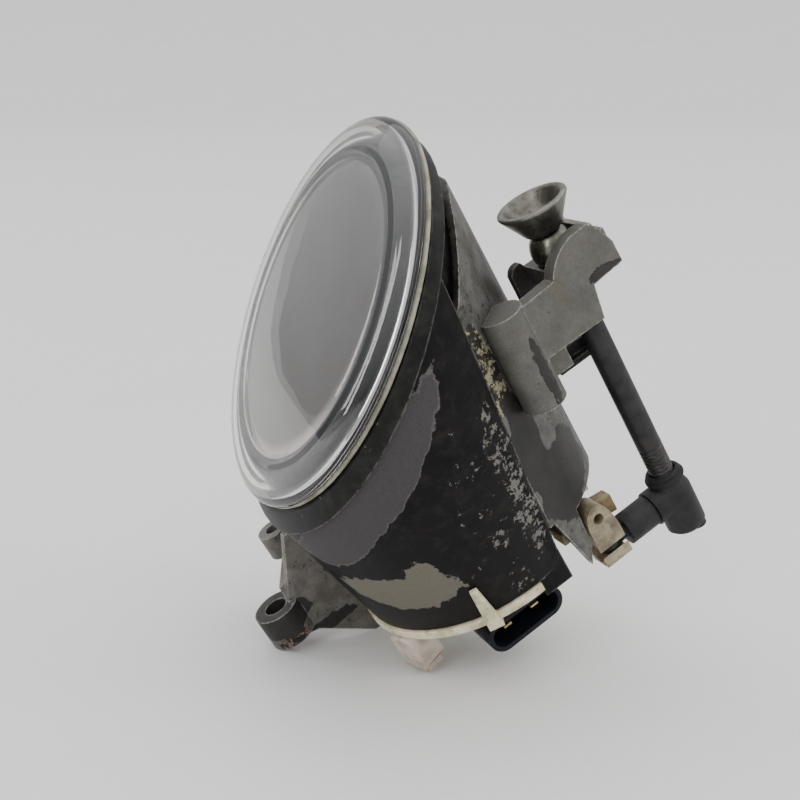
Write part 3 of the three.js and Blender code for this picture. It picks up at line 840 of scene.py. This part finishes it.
@dataclass(frozen=True)
class CastMetal:
    """Bare or thinly painted die casting with remains of dark paint."""

    name: str
    light: Rgb
    dark: Rgb
    remains: tuple[Patch, ...] = ()
    bare: tuple[Patch, ...] = ()
    bare_shade: Rgb = tone(140, 134, 108, 1.2)
    # Colour of the edges, part wear and part painted highlight.
    edge: Rgb = tone(168, 165, 158, 1.1)
    specks: float = 0.2
    metallic: float = 0.45
    stain: Rgb = tone(112, 104, 86)

    def material(self) -> Material:
        """Builds the finish.

        Returns:
            The material.
        """
        r = Paintwork(self.name)
        grain, cloud = r.grain(1.5)
        colour = r.mix(r.ramp(cloud, 0.3, 0.72), self.light, self.dark)
        stained = r.ramp(r.noise(r.place, 0.09, 5.0), 0.5, 0.78)
        colour = r.mix(r.times(stained, 0.45), colour, self.stain)
        metal: object = self.metallic
        for spot in self.bare:
            patch, _ = r.patch(spot)
            colour = r.mix(patch, colour, r.mix(r.flecks(0.75, 0.55), self.bare_shade, tone(30, 29, 28)))
        colour = r.mix(r.times(r.flecks(0.9, self.specks), 0.8), colour, tone(36, 35, 34))
        for spot in self.remains:
            patch, _ = r.patch(spot)
            colour = r.mix(patch, colour, tone(32, 31, 31))
            metal = r.times(metal, r.without(patch))
        colour = r.mix(r.times(r.ramp(grain, 0.3, 0.75), 0.35), colour, darker(self.dark, 0.55))
        # Lighter edges: part wear, part painted highlight.
        colour = r.mix(r.wear_and_highlight(0.7, 0.85, 0.8), colour, self.edge)
        colour = r.mix(r.dust(0.08, 0.1), colour, tone(150, 144, 132))
        lines = r.scratches((6.0, 1.0, 0.4), 0.5)
        height = r.math("ADD", grain, r.times(lines, 0.4))
        rough = r.blend(grain, 0.42, 0.68)
        return r.dress(colour, rough, metal, height, 0.35, 0.12, Specular_IOR_Level=0.3)


@dataclass(frozen=True)
class TurnedSteel:
    """Turned and plated steel, dulled, with rings left by the tool."""

    name: str
    light: Rgb
    dark: Rgb
    roughness: float = 0.34
    metallic: float = 0.9
    # Colour of the edges, part wear and part painted highlight.
    edge: Rgb = tone(205, 202, 192, 1.1)
    # How strongly the edges are lightened, by wear and by a painted highlight.
    edge_wear_and_highlight: float = 0.8

    def material(self) -> Material:
        """Builds the finish.

        Returns:
            The material.
        """
        r = Paintwork(self.name)
        grain, cloud = r.grain(1.6)
        colour = r.mix(r.ramp(cloud, 0.35, 0.7), self.light, self.dark)
        colour = r.mix(r.times(r.flecks(1.1, 0.3), 0.5), colour, darker(self.dark, 0.4))
        # Lighter edges: part wear, part painted highlight.
        colour = r.mix(r.wear_and_highlight(0.6, self.edge_wear_and_highlight, 0.9), colour, self.edge)
        colour = r.mix(r.dust(0.1, 0.15), colour, tone(150, 144, 130))
        rings = r.scratches((0.15, 0.15, 9.0), 0.7)
        height = r.math("ADD", r.times(grain, 0.6), rings)
        rough = r.blend(cloud, self.roughness - 0.06, self.roughness + 0.16)
        return r.dress(colour, rough, self.metallic, height, 0.14, 0.05)


@dataclass(frozen=True)
class MouldedPlastic:
    """Moulded nylon, plastic or rubber: mottled, dusty and a little dented."""

    name: str
    light: Rgb
    dark: Rgb
    grime: Rgb
    roughness: float = 0.5
    grime_share: float = 0.4
    dusty: float = 0.1
    shine: float = 0.35
    glow: float = 0.0
    gloss: float = 0.0
    # How strongly the edges are lightened, by scuffing and by a painted highlight.
    edge_wear_and_highlight: float = 0.25

    def material(self) -> Material:
        """Builds the finish.

        Returns:
            The material.
        """
        r = Paintwork(self.name)
        grain, cloud = r.grain(1.3)
        colour = r.mix(r.ramp(cloud, 0.35, 0.7), self.light, self.dark)
        smear = r.ramp(r.noise(r.place, 0.22, 7.0, 0.65), 0.48, 0.66)
        colour = r.mix(r.times(smear, self.grime_share), colour, self.grime)
        colour = r.mix(r.times(r.flecks(0.9, 0.14), 0.6), colour, self.grime)
        # Lighter edges: part scuffing, part painted highlight.
        scuffed_and_highlit = tuple(min(c * 1.6 + 0.02, BRIGHTEST) for c in self.light)
        colour = r.mix(r.wear_and_highlight(0.5, self.edge_wear_and_highlight, 0.8), colour, scuffed_and_highlit)
        colour = r.mix(r.dust(self.dusty, 0.12), colour, tone(152, 146, 134))
        rough = r.blend(grain, self.roughness - 0.08, self.roughness + 0.14)
        return r.dress(colour, rough, 0.0, r.math("ADD", grain, smear), 0.12, 0.07,
                       Subsurface_Weight=self.glow, Subsurface_Scale=0.004, Coat_Weight=self.gloss,
                       Specular_IOR_Level=self.shine)


@dataclass(frozen=True)
class ClearGlass:
    """Clear pressed glass with faint smears."""

    name: str
    tint: Rgb = (0.95, 0.945, 0.935)
    roughness: float = 0.0

    def material(self) -> Material:
        """Builds the finish.

        Returns:
            The material.
        """
        r = Paintwork(self.name)
        wave = r.noise(r.place, 0.06, 2.0, 0.4)
        return r.dress(self.tint, self.roughness, 0.0, wave, 0.04, 0.6, Transmission_Weight=1.0, IOR=1.5)


@dataclass(frozen=True)
class Haze:
    """The grey haze on the inside of the glass, thicker at its rim, with a painted highlight ring near the
    rim and painted shade on one side.
    """

    name: str = "inside_haze"
    film: Rgb = tone(114, 109, 106, 1.0)
    # Pale colour of the painted highlight ring near the rim, and of the haze's specks.
    rim: Rgb = tone(228, 218, 214, 1.0)
    # Painted shade: the colour that darkens one side of the haze.
    painted_shade: Rgb = tone(94, 89, 86, 1.0)
    radius: float = 43.0

    def material(self) -> Material:
        """Builds the finish.

        Returns:
            The material.
        """
        r = Paintwork(self.name)
        axis = PLAN.turn().transposed() @ (PLAN.place(Axis.GLASS).to_3x3() @ Vector((0, 0, 1))).normalized()
        middle = (0.0, 0.0, PLAN.rim_height)
        away = r.add("ShaderNodeVectorMath", {0: r.place, 1: middle}, operation="SUBTRACT").outputs[0]
        along = r.dot(away, tuple(axis))
        square = r.math("SUBTRACT", r.dot(away, away), r.times(along, along))
        reach = r.math("DIVIDE", r.math("SQRT", r.math("MAXIMUM", square, 0.0)), self.radius)
        # The ring near the rim: the haze is thicker there, and a highlight ring is painted there.
        edge = r.ramp(reach, 0.87, 0.97)
        _, cloud = r.grain(0.5)
        specks = r.flecks(0.8, 0.12)
        # Painted highlight ring near the rim, with pale specks, in the rim colour.
        colour = r.mix(r.math("MAXIMUM", edge, r.times(specks, 0.5)), self.film, self.rim)
        # Painted shade: the haze grows darker towards one side.
        across = tuple(c * 0.7 / self.radius for c in (axis[2], -1.0, -axis[0]))
        colour = r.mix(r.ramp(r.dot(away, across), -0.1, 0.75), colour, self.painted_shade)
        colour = r.mix(r.times(r.ramp(cloud, 0.35, 0.7), 0.3), colour, tone(120, 124, 126))
        alpha = r.math("ADD", r.times(edge, 0.3), r.blend(cloud, 0.66, 0.8), clamp=True)
        r.feed(r.shader.inputs["Alpha"], alpha)
        return r.dress(colour, 0.6)


@dataclass(frozen=True)
class Silvering:
    """Metal film on the reflector, a little clouded with age."""

    name: str = "aged_silvering"

    def material(self) -> Material:
        """Builds the finish.

        Returns:
            The material.
        """
        r = Paintwork(self.name)
        _, cloud = r.grain(0.8)
        colour = r.mix(r.ramp(cloud, 0.4, 0.75), (0.8, 0.8, 0.8), (0.55, 0.54, 0.5))
        return r.dress(colour, r.blend(cloud, 0.08, 0.3), 1.0)


class Shade(Enum):
    """The finishes of the lamp's pieces, each built once."""

    PAINT = FlakedPaint()
    RING = RingPaint()
    SKIRT = CastMetal(
        "worn_skirt", tone(104, 102, 98), tone(66, 65, 61), specks=0.3, metallic=0.15,
        bare=(Patch((21.0, -42.6, 67.5), (-0.06, 0.08, 1.0), 13.5, (0.87, 0.5, 0.0), 5.2, 0.5, 0.16),),
        remains=(Patch((22.0, -38.0, 40.0), (-0.06, 0.08, 1.0), 19.0, (0.87, 0.5, 0.0), 7.0, 1.1, 0.09),
                 Patch((30.0, -32.0, 22.0), (-0.06, 0.08, 1.0), 12.0, (0.87, 0.5, 0.0), 16.0, 1.1, 0.09)))
    CASTING = CastMetal(
        "grey_casting", tone(97, 95, 90, 1.1), tone(84, 83, 79, 1.05), specks=0.1, metallic=0.35,
        remains=(Patch((33.0, -44.0, 58.0), (-0.12, 0.0, 1.0), 10.5, (1.0, 0.3, 0.0), 1.9, 1.5, 0.55),
                 Patch((60.5, -43.0, 71.6), (1.0, 0.0, 0.25), 5.0, (0.0, 0.0, 1.0), 2.0, 1.5, 0.5)))
    # Painted shade: a darker copy of the grey casting for the cradle's far wall, which lies behind the ball.
    SHADED_CASTING = CastMetal("shaded_grey_casting", tone(72, 66, 62), tone(48, 45, 43), specks=0.25, metallic=0.15)
    BOSSES = CastMetal(
        "boss_casting", tone(116, 113, 108), tone(86, 83, 79), specks=0.2, metallic=0.2,
        remains=(Patch((-57.0, 20.0, 11.5), (1.0, 0.0, 0.3), 9.5, (0.0, 0.0, 1.0), 5.0, 0.9, 0.2),
                 Patch((-44.0, 17.0, 0.5), (1.0, 0.0, 0.0), 9.0, (0.0, 0.0, 1.0), 2.4, 1.3, 0.3)),
        bare=(Patch((-56.0, 14.0, 5.0), (1.0, 0.0, 0.0), 6.0, (0.0, 0.0, 1.0), 2.2, 0.8, 0.3),),
        bare_shade=tone(124, 106, 92))
    BAR = CastMetal("bar_casting", tone(38, 36, 38), tone(26, 25, 26), specks=0.1, metallic=0.1,
                    edge=tone(160, 158, 152, 1.1))
    STEEL = TurnedSteel("dull_steel", tone(116, 114, 106, 1.1), tone(86, 84, 76, 1.0), edge_wear_and_highlight=1.0)
    BALL = TurnedSteel("ball_steel", tone(112, 110, 98, 1.1), tone(80, 78, 68, 1.0), roughness=0.22)
    ROD = TurnedSteel("dark_rod", tone(48, 47, 48), tone(32, 31, 32), roughness=0.42, metallic=0.5,
                      edge=tone(110, 108, 104), edge_wear_and_highlight=0.5)
    BLACK = MouldedPlastic("black_nylon", tone(40, 39, 40), tone(28, 27, 28), tone(70, 67, 62), roughness=0.5,
                           grime_share=0.15, dusty=0.04, shine=0.25)
    RUBBER = MouldedPlastic("black_rubber", tone(34, 34, 34), tone(24, 24, 24), tone(64, 62, 58),
                            roughness=0.62, grime_share=0.15, dusty=0.04, shine=0.2)
    CREAM = MouldedPlastic("cream_nylon", tone(196, 189, 160, 1.3), tone(158, 150, 116, 1.2),
                           tone(92, 84, 64), roughness=0.42, grime_share=0.5, glow=0.12)
    CLIP = MouldedPlastic("clip_nylon", tone(150, 141, 116, 1.1), tone(108, 99, 78, 1.0), tone(74, 66, 52),
                          roughness=0.45, grime_share=0.7, glow=0.1)
    WHITE = MouldedPlastic("white_nylon", tone(190, 178, 166, 1.1), tone(158, 145, 132, 1.0),
                           tone(126, 112, 96), roughness=0.32, grime_share=0.35, glow=0.35)
    TAN = MouldedPlastic("tan_nylon", tone(140, 124, 92, 1.1), tone(98, 84, 60, 1.1), tone(58, 50, 38),
                         roughness=0.5, grime_share=0.6)
    CONNECTOR = MouldedPlastic("navy_plastic", tone(26, 28, 38), tone(18, 20, 28), tone(38, 38, 42),
                               roughness=0.3, grime_share=0.08, dusty=0.03, shine=0.16, gloss=0.06)
    SEAL = MouldedPlastic("seal_bead", tone(152, 151, 136), tone(112, 111, 92), tone(66, 64, 50),
                          roughness=0.45, glow=0.1)
    BRASS = TurnedSteel("plated_brass", (0.62, 0.46, 0.2), (0.4, 0.28, 0.12), edge=(0.8, 0.66, 0.4))
    GLASS = ClearGlass("lens_glass")
    BULB = ClearGlass("bulb_glass", roughness=0.03)
    HAZE = Haze()
    SILVER = Silvering()

    @cache
    def material(self) -> Material:
        """Gives the finish's material, building it at its first use.

        Returns:
            The material.
        """
        return self.value.material()


# ------------------------------------------------------------------ sub-assemblies


@dataclass(frozen=True)
class Part:
    """A piece that starts from a CAD node: its name, node, slot, finish and edge rounding in millimetres."""

    name: str
    node: str
    slot: str
    shade: Shade
    rounding: float = 0.25
    segments: int = 2
    angle: float = 32.0
    clamp: bool = False


class SubAssembly:
    """Pieces that ride on one body."""

    body: Body = Body.HOUSING
    parts: tuple[Part, ...] = ()

    def build(self) -> None:
        """Builds every piece that starts from a CAD node."""
        for part in self.parts:
            obj = from_node(part.node, part.name, part.rounding, part.segments, part.angle, part.clamp)
            self.give(obj, [part.node], part.slot, part.shade)

    def give(self, obj: Object, nodes: Sequence[str], slot: str, shade: Shade) -> None:
        """Dresses a finished piece and says what it rides on and stands for.

        Args:
            obj: the piece.
            nodes: the CAD nodes it stands for.
            slot: the record's material slot; not used.
            shade: its finish.
        """
        obj.data.materials.clear()
        obj.data.materials.append(shade.material())
        if nodes:
            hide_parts(*nodes)
        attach(obj, self.body.value)
        LOG.info("%s: %d faces on %s", obj.name, len(obj.data.polygons), self.body.value)


@dataclass
class FrontGlass(SubAssembly):
    """The glass, the haze inside it and the bead under it."""

    radius: float = 55.0
    wall: float = 3.0
    shoulder: float = 7.5
    rise: float = 4.2
    crown: float = 1.6
    foot: float = 0.3
    edge: float = 0.3
    bead_radius: float = 43.2
    bead_reach: float = 1.9
    bead_depth: float = 1.1
    film: float = 0.12
    steps: int = 14
    film_steps: int = 10

    def face(self, inset: float) -> list[tuple[float, float]]:
        """Draws one face of the glass from its pole to its foot.

        Args:
            inset: how far it lies inside the outer face.

        Returns:
            Its profile.
        """
        flat = self.radius - inset - self.shoulder
        points = [(flat * i / self.steps, self.rise + 1 - inset + self.crown * (1 - (i / self.steps) ** 2))
                  for i in range(self.steps + 1)]
        for i in range(1, self.steps + 1):
            turn = i / self.steps * math.pi / 2
            points.append((flat + self.shoulder * math.sin(turn), 1 - inset + self.rise * math.cos(turn)))
        return points

    def inner_height(self, radius: float) -> float:
        """Gives the height of the glass's inner face.

        Args:
            radius: where, from the glass's middle.

        Returns:
            The height.
        """
        flat = self.radius - self.wall - self.shoulder
        return self.rise + 1 - self.wall + self.crown * (1 - (radius / flat) ** 2)

    def glass(self) -> Object:
        """Draws the glass, with the raised ring on its inner face.

        Returns:
            The piece.
        """
        inner = [p for p in self.face(self.wall) if p[1] > self.foot + 0.05]
        ring = []
        for radius, height in inner:
            swell = max(0.0, 1 - abs(radius - self.bead_radius) / self.bead_reach)
            ring.append((radius, height - self.bead_depth * math.sqrt(swell)))
        rim = [(self.radius, self.foot + self.edge), (self.radius - self.edge, self.foot),
               (self.radius - self.wall + self.edge, self.foot)]
        return revolved("front_glass", self.face(0.0) + rim + ring[::-1], 128)

    def haze(self) -> Object:
        """Draws the thin haze that follows the inner face.

        Returns:
            The piece.
        """
        reach = self.bead_radius - 0.9
        radii = [reach * i / self.film_steps for i in range(self.film_steps + 1)]
        top = [(radius, self.inner_height(radius) - self.film) for radius in radii]
        low = [(radius, height - self.film) for radius, height in reversed(top)]
        return revolved("glass_haze", top + low, 96)

    def bead(self) -> Object:
        """Draws the lumpy bead of sealant.

        Returns:
            The piece.
        """
        r = self.radius
        obj = revolved("seal_bead", [
            (r - 4.2, -0.05), (r - 0.9, -0.05), (r - 0.2, -0.2), (r, -0.6), (r - 0.15, -1.0),
            (r - 0.8, -1.15), (r - 4.2, -1.15), (r - 4.2, -0.05)], 160)
        open_mesh(obj)
        bpy.ops.transform.vertex_random(offset=0.07, seed=3)
        bpy.ops.object.mode_set(mode="OBJECT")
        return obj

    def build(self) -> None:
        """Builds the glass, the haze and the bead."""
        for obj, nodes, slot, shade in (
                (self.glass(), ["front_lens"], "lens_glass", Shade.GLASS),
                (self.haze(), [], "lens_glass", Shade.HAZE),
                (self.bead(), ["lens_seal"], "seal_bead", Shade.SEAL)):
            settle(obj, PLAN.place(Axis.GLASS))
            soften(obj, 0.0, angle=60)
            self.give(obj, nodes, slot, shade)


class Housing(SubAssembly):
    """The front ring, the tapering shell, the side skirt and the trim inside."""

    parts = (
        Part("front_ring", "front_collar", "black_paint", Shade.RING, 0.4, 3),
        Part("housing", "housing_shell", "black_paint", Shade.PAINT, 0.3, clamp=True),
        Part("skirt", "side_skirt", "worn_casting", Shade.SKIRT, 0.3, clamp=True),
        Part("inner_trim", "light_mask", "black_nylon", Shade.BLACK, 0.0),
    )


class ScrewBracket(SubAssembly):
    """The barrel boss with its web and cradle, the far wall, the cross bar and the ball's clip."""

    parts = (
        Part("barrel_and_web", "barrel_bracket", "grey_casting", Shade.CASTING, 0.45, 3, clamp=True),
        # The far wall keeps the grey casting's slot, with a darker copy of its finish as painted shade.
        Part("far_wall", "cradle_far_wall", "grey_casting", Shade.SHADED_CASTING, 0.35, 2),
        Part("bar_across", "cross_bar", "worn_casting", Shade.BAR, 0.4, 3),
        Part("clip_over_ball", "ball_clip", "spring_steel", Shade.STEEL, 0.2, 2),
    )


@dataclass
class AimingScrew(SubAssembly):
    """The funnel, the ball and the threaded rod."""

    body: Body = Body.SCREW
    ball_height: float = 79.5
    ball_radius: float = 6.3
    neck: float = 3.9
    rod_radius: float = 3.7
    rod_end: float = -14.0
    pitch: float = 1.25
    thread_length: float = 26.0
    thread_depth: float = 0.45
    shank_start: float = -24.0
    chamfer: float = 0.5
    arc_steps: int = 20

    def cup(self) -> Object:
        """Draws the funnel with its thick rounded rim.

        Returns:
            The piece.
        """
        return revolved("funnel", [
            (0.0, 6.6), (2.4, 6.6), (3.1, 6.9), (3.2, 8.2), (3.6, 8.55), (4.8, 8.9), (6.2, 10.9), (7.9, 13.3),
            (8.25, 13.8), (8.6, 14.02), (9.1, 14.05), (9.6, 13.95), (9.9, 13.7), (9.97, 13.35), (9.8, 12.95),
            (8.9, 11.5), (7.4, 9.0), (6.1, 6.75), (5.9, 6.35), (5.65, 6.2), (5.5, 5.75), (5.2, 5.5),
            (4.6, 5.42), (0.0, 5.42)], 96)

    def ball(self) -> Object:
        """Draws the ball with flats at its two poles.

        Returns:
            The piece.
        """
        start = math.asin(self.neck / self.ball_radius)
        arc = [start + i / self.arc_steps * (math.pi - 2 * start) for i in range(self.arc_steps + 1)]
        face = [(self.ball_radius * math.sin(a), -self.ball_radius * math.cos(a)) for a in arc]
        flat = self.ball_radius * math.cos(start)
        return revolved("aiming_ball", [(0.0, -flat), *face, (0.0, flat)], 64)

    def rod(self) -> Object:
        """Draws the rod, with its thread at the lower end.

        Returns:
            The piece.
        """
        low = self.rod_end - self.ball_height
        top = -math.sqrt(self.ball_radius ** 2 - self.neck ** 2) - 0.3
        profile = [(0.0, low), (self.rod_radius - 0.9, low)]
        root, crest = self.rod_radius - self.thread_depth, self.rod_radius - 0.02
        for i in range(int(self.thread_length / self.pitch)):
            height = low + 0.6 + i * self.pitch
            profile += [(root, height), (crest, height + 0.5), (crest, height + 0.72)]
        profile += [(self.rod_radius - 0.05, low + self.thread_length + 1.0),
                    (self.rod_radius, self.shank_start), (self.rod_radius, top - self.chamfer),
                    (self.rod_radius - self.chamfer, top), (0.0, top)]
        return revolved("threaded_rod", profile, 48)

    def build(self) -> None:
        """Builds the screw's three pieces."""
        place = PLAN.place(Axis.SCREW) @ Matrix.Translation((0, 0, self.ball_height))
        for obj, node, slot, shade in (
                (self.cup(), "screw_cup", "dull_steel", Shade.STEEL),
                (self.ball(), "screw_ball", "dull_steel", Shade.BALL),
                (self.rod(), "screw_rod", "dark_steel", Shade.ROD)):
            settle(obj, place)
            soften(obj, 0.0, angle=50)
            self.give(obj, [node], slot, shade)


class NutCarriage(SubAssembly):
    """The travelling nut, its rubber ring and its arm."""

    body = Body.NUT
    parts = (
        Part("travelling_nut", "nut_housing", "black_nylon", Shade.BLACK, 0.6, 3, 40.0, clamp=True),
        Part("nut_ring", "nut_boot", "rubber", Shade.RUBBER, 0.25, 2, 40.0, clamp=True),
        Part("ball_arm", "nut_arm", "black_nylon", Shade.BLACK, 0.3, 2, 40.0, clamp=True),
    )


class ClipAndLever(SubAssembly):
    """The clip on the ball end and the lever that carries it."""

    body = Body.REFLECTOR
    parts = (
        Part("ball_socket", "socket_clip", "cream_nylon", Shade.CLIP, 0.4, 3, clamp=True),
        Part("aiming_lever", "aim_lever", "tan_nylon", Shade.TAN, 0.35, 2),
    )


class Optics(SubAssembly):
    """The tilting reflector with its bulb, connector and pivot pins."""

    body = Body.REFLECTOR
    parts = (
        Part("silvered_bowl", "reflector", "reflector_silver", Shade.SILVER, 0.0, 1, 40.0),
        Part("bowl_carrier", "reflector_carrier", "black_nylon", Shade.BLACK, 0.25),
        Part("pin_near", "pivot_pin_near", "dull_steel", Shade.STEEL, 0.2),
        Part("pin_far", "pivot_pin_far", "dull_steel", Shade.STEEL, 0.2),
        Part("glare_cap", "bulb_shield", "reflector_silver", Shade.SILVER, 0.0),
        Part("bulb", "bulb_glass", "lens_glass", Shade.BULB, 0.0, 1, 50.0),
        Part("bulb_cap", "bulb_base", "black_nylon", Shade.BLACK, 0.4, 2, 40.0, clamp=True),
        Part("plug_shroud", "bulb_connector", "connector_plastic", Shade.CONNECTOR, 0.55, 4, clamp=True),
        Part("blade_1", "connector_pin_1", "brass", Shade.BRASS, 0.12),
        Part("blade_2", "connector_pin_2", "brass", Shade.BRASS, 0.12),
    )


class RearEnd(SubAssembly):
    """The rear cover with its finger, the bulb's rubber ring, the latch blocks and the pivot bushes."""

    parts = (
        Part("back_cover", "rear_cover", "cream_nylon", Shade.CREAM, 0.35, 3, clamp=True),
        Part("bulb_ring", "cover_seal", "rubber", Shade.RUBBER, 0.3),
        Part("latch_near", "latch_block_near", "white_nylon", Shade.WHITE, 0.7, 3),
        Part("latch_far", "latch_block_far", "white_nylon", Shade.WHITE, 0.7, 3),
        Part("bush_near", "pivot_bush_near", "cream_nylon", Shade.CREAM, 0.2),
        Part("bush_far", "pivot_bush_far", "cream_nylon", Shade.CREAM, 0.2),
    )


class OutboardBracket(SubAssembly):
    """The bracket with two screw bosses on the outer side."""

    parts = (
        Part("boss_bracket", "outboard_bracket", "worn_casting", Shade.BOSSES, 0.5, 3, clamp=True),
    )


# ------------------------------------------------------------------ studio


@dataclass
class Studio:
    """The floor, the light and the camera, in metres from the foot of the optical axis."""

    eye: Point = (-0.1521, -0.3070, 0.1383)
    gaze: Point = (0.376, 0.892, -0.252)
    head: Point = (0.098, 0.232, 0.968)
    lens: float = 54.0
    sensor: float = 36.0
    floor_size: float = 12.0
    bend_steps: int = 8
    bend_step: float = 0.5
    upright: float = 4.0
    floor_shade: Rgb = (0.76, 0.75, 0.735)
    dome: tuple[float, float] = (0.45, 2.2)

    def camera(self) -> None:
        """Sets up the camera."""
        back = -Vector(self.gaze).normalized()
        right = Vector(self.head).cross(back).normalized()
        up = back.cross(right)
        data = bpy.data.cameras.new("camera")
        data.lens = self.lens
        data.sensor_width = self.sensor
        data.clip_start = 0.01
        data.clip_end = 50.0
        cam = bpy.data.objects.new("camera", data)
        turn = Matrix((right, up, back)).transposed().to_4x4()
        cam.matrix_world = Matrix.Translation(PLAN.origin() + Vector(self.eye)) @ turn
        bpy.context.scene.collection.objects.link(cam)
        bpy.context.scene.camera = cam

    def floor(self) -> None:
        """Lays a plain pale sheet that curves up far behind the lamp."""
        clear_selection()
        half = self.floor_size / 2
        turned = Matrix.Rotation(math.atan2(-self.gaze[0], self.gaze[1]), 4, "Z")
        bpy.ops.mesh.primitive_plane_add(size=self.floor_size, location=(0, 0, 0), rotation=turned.to_euler())
        sheet = bpy.context.object
        sheet.name = "studio_floor"
        open_mesh(sheet)
        bpy.ops.mesh.select_mode(type="EDGE")
        bpy.ops.mesh.select_all(action="DESELECT")
        bpy.ops.object.mode_set(mode="OBJECT")
        for edge in sheet.data.edges:
            edge.select = all(sheet.data.vertices[v].co.y > half - 0.01 for v in edge.vertices)
        bpy.ops.object.mode_set(mode="EDIT")
        for i in range(self.bend_steps):
            turn = (i + 0.5) / self.bend_steps * math.pi / 2
            step = turned @ (Vector((0, math.cos(turn), math.sin(turn))) * self.bend_step)
            bpy.ops.mesh.extrude_region_move(TRANSFORM_OT_translate={"value": step})
        bpy.ops.mesh.extrude_region_move(TRANSFORM_OT_translate={"value": (0, 0, self.upright)})
        bpy.ops.object.mode_set(mode="OBJECT")
        bpy.ops.object.shade_smooth()
        sheet.data.materials.append(self.floor_finish())

    def floor_finish(self) -> Material:
        """Builds the sheet's finish: matt, pale, with faint scuffs.

        Returns:
            The material.
        """
        r = Paintwork("studio_sheet")
        cloud = r.ramp(r.noise(r.place, 0.008, 5.0, 0.6), 0.45, 0.8)
        scuff = r.ramp(r.noise(r.place, 0.035, 6.0, 0.7), 0.66, 0.76)
        colour = r.mix(r.times(cloud, 0.12), self.floor_shade, (0.6, 0.59, 0.57))
        colour = r.mix(r.times(scuff, 0.3), colour, (0.45, 0.43, 0.4))
        return r.dress(colour, 0.55)

    def lamp(self, name: str, spot: Point, size: tuple[float, float], power: float, shade: Rgb) -> None:
        """Hangs one soft box that looks at the lamp.

        Args:
            name: the light's name.
            spot: where it hangs, in metres.
            size: its width and height, in metres.
            power: its power, in watts.
            shade: its colour.
        """
        data = bpy.data.lights.new(name, "AREA")
        data.shape = "RECTANGLE"
        data.size, data.size_y = size
        data.energy = power
        data.color = shade
        obj = bpy.data.objects.new(name, data)
        aim = Vector((0.0, 0.0, 0.08)) - Vector(spot)
        obj.matrix_world = Matrix.Translation(spot) @ aim.to_track_quat("-Z", "Y").to_matrix().to_4x4()
        bpy.context.scene.collection.objects.link(obj)

    def light(self) -> None:
        """Lights the room softly, with one window-like box in front."""
        world = bpy.data.worlds.new("room")
        world.use_nodes = True
        tree = world.node_tree
        sky = tree.nodes["Background"]
        sky.inputs[0].default_value = (0.97, 0.98, 1.0, 1.0)
        split = tree.nodes.new("ShaderNodeSeparateXYZ")
        tree.links.new(tree.nodes.new("ShaderNodeTexCoord").outputs["Generated"], split.inputs[0])
        rise = tree.nodes.new("ShaderNodeMapRange")
        tree.links.new(split.outputs["Z"], rise.inputs["Value"])
        rise.inputs["To Min"].default_value, rise.inputs["To Max"].default_value = self.dome
        tree.links.new(rise.outputs[0], sky.inputs[1])
        bpy.context.scene.world = world
        self.lamp("window", (-1.3, -0.9, 0.7), (0.2, 0.9), 5.0, (0.95, 0.98, 1.0))
        self.lamp("panel", (-1.9, 1.45, 0.75), (0.3, 1.2), 9.0, (1.0, 0.99, 0.97))
        self.lamp("side", (1.2, -0.9, 0.9), (0.3, 0.5), 4.0, (1.0, 0.98, 0.95))

    def build(self) -> None:
        """Builds the studio."""
        self.camera()
        self.floor()
        self.light()


# ------------------------------------------------------------------ the whole lamp


def main() -> None:
    """Builds the studio and every sub-assembly in order."""
    logging.basicConfig(level=logging.INFO, format="%(message)s")
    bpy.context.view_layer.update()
    Studio().build()
    for assembly in (FrontGlass(), Housing(), ScrewBracket(), AimingScrew(), NutCarriage(), ClipAndLever(),
                     Optics(), RearEnd(), OutboardBracket()):
        LOG.info("%s", type(assembly).__name__)
        assembly.build()


if __name__ == "__main__":
    main()
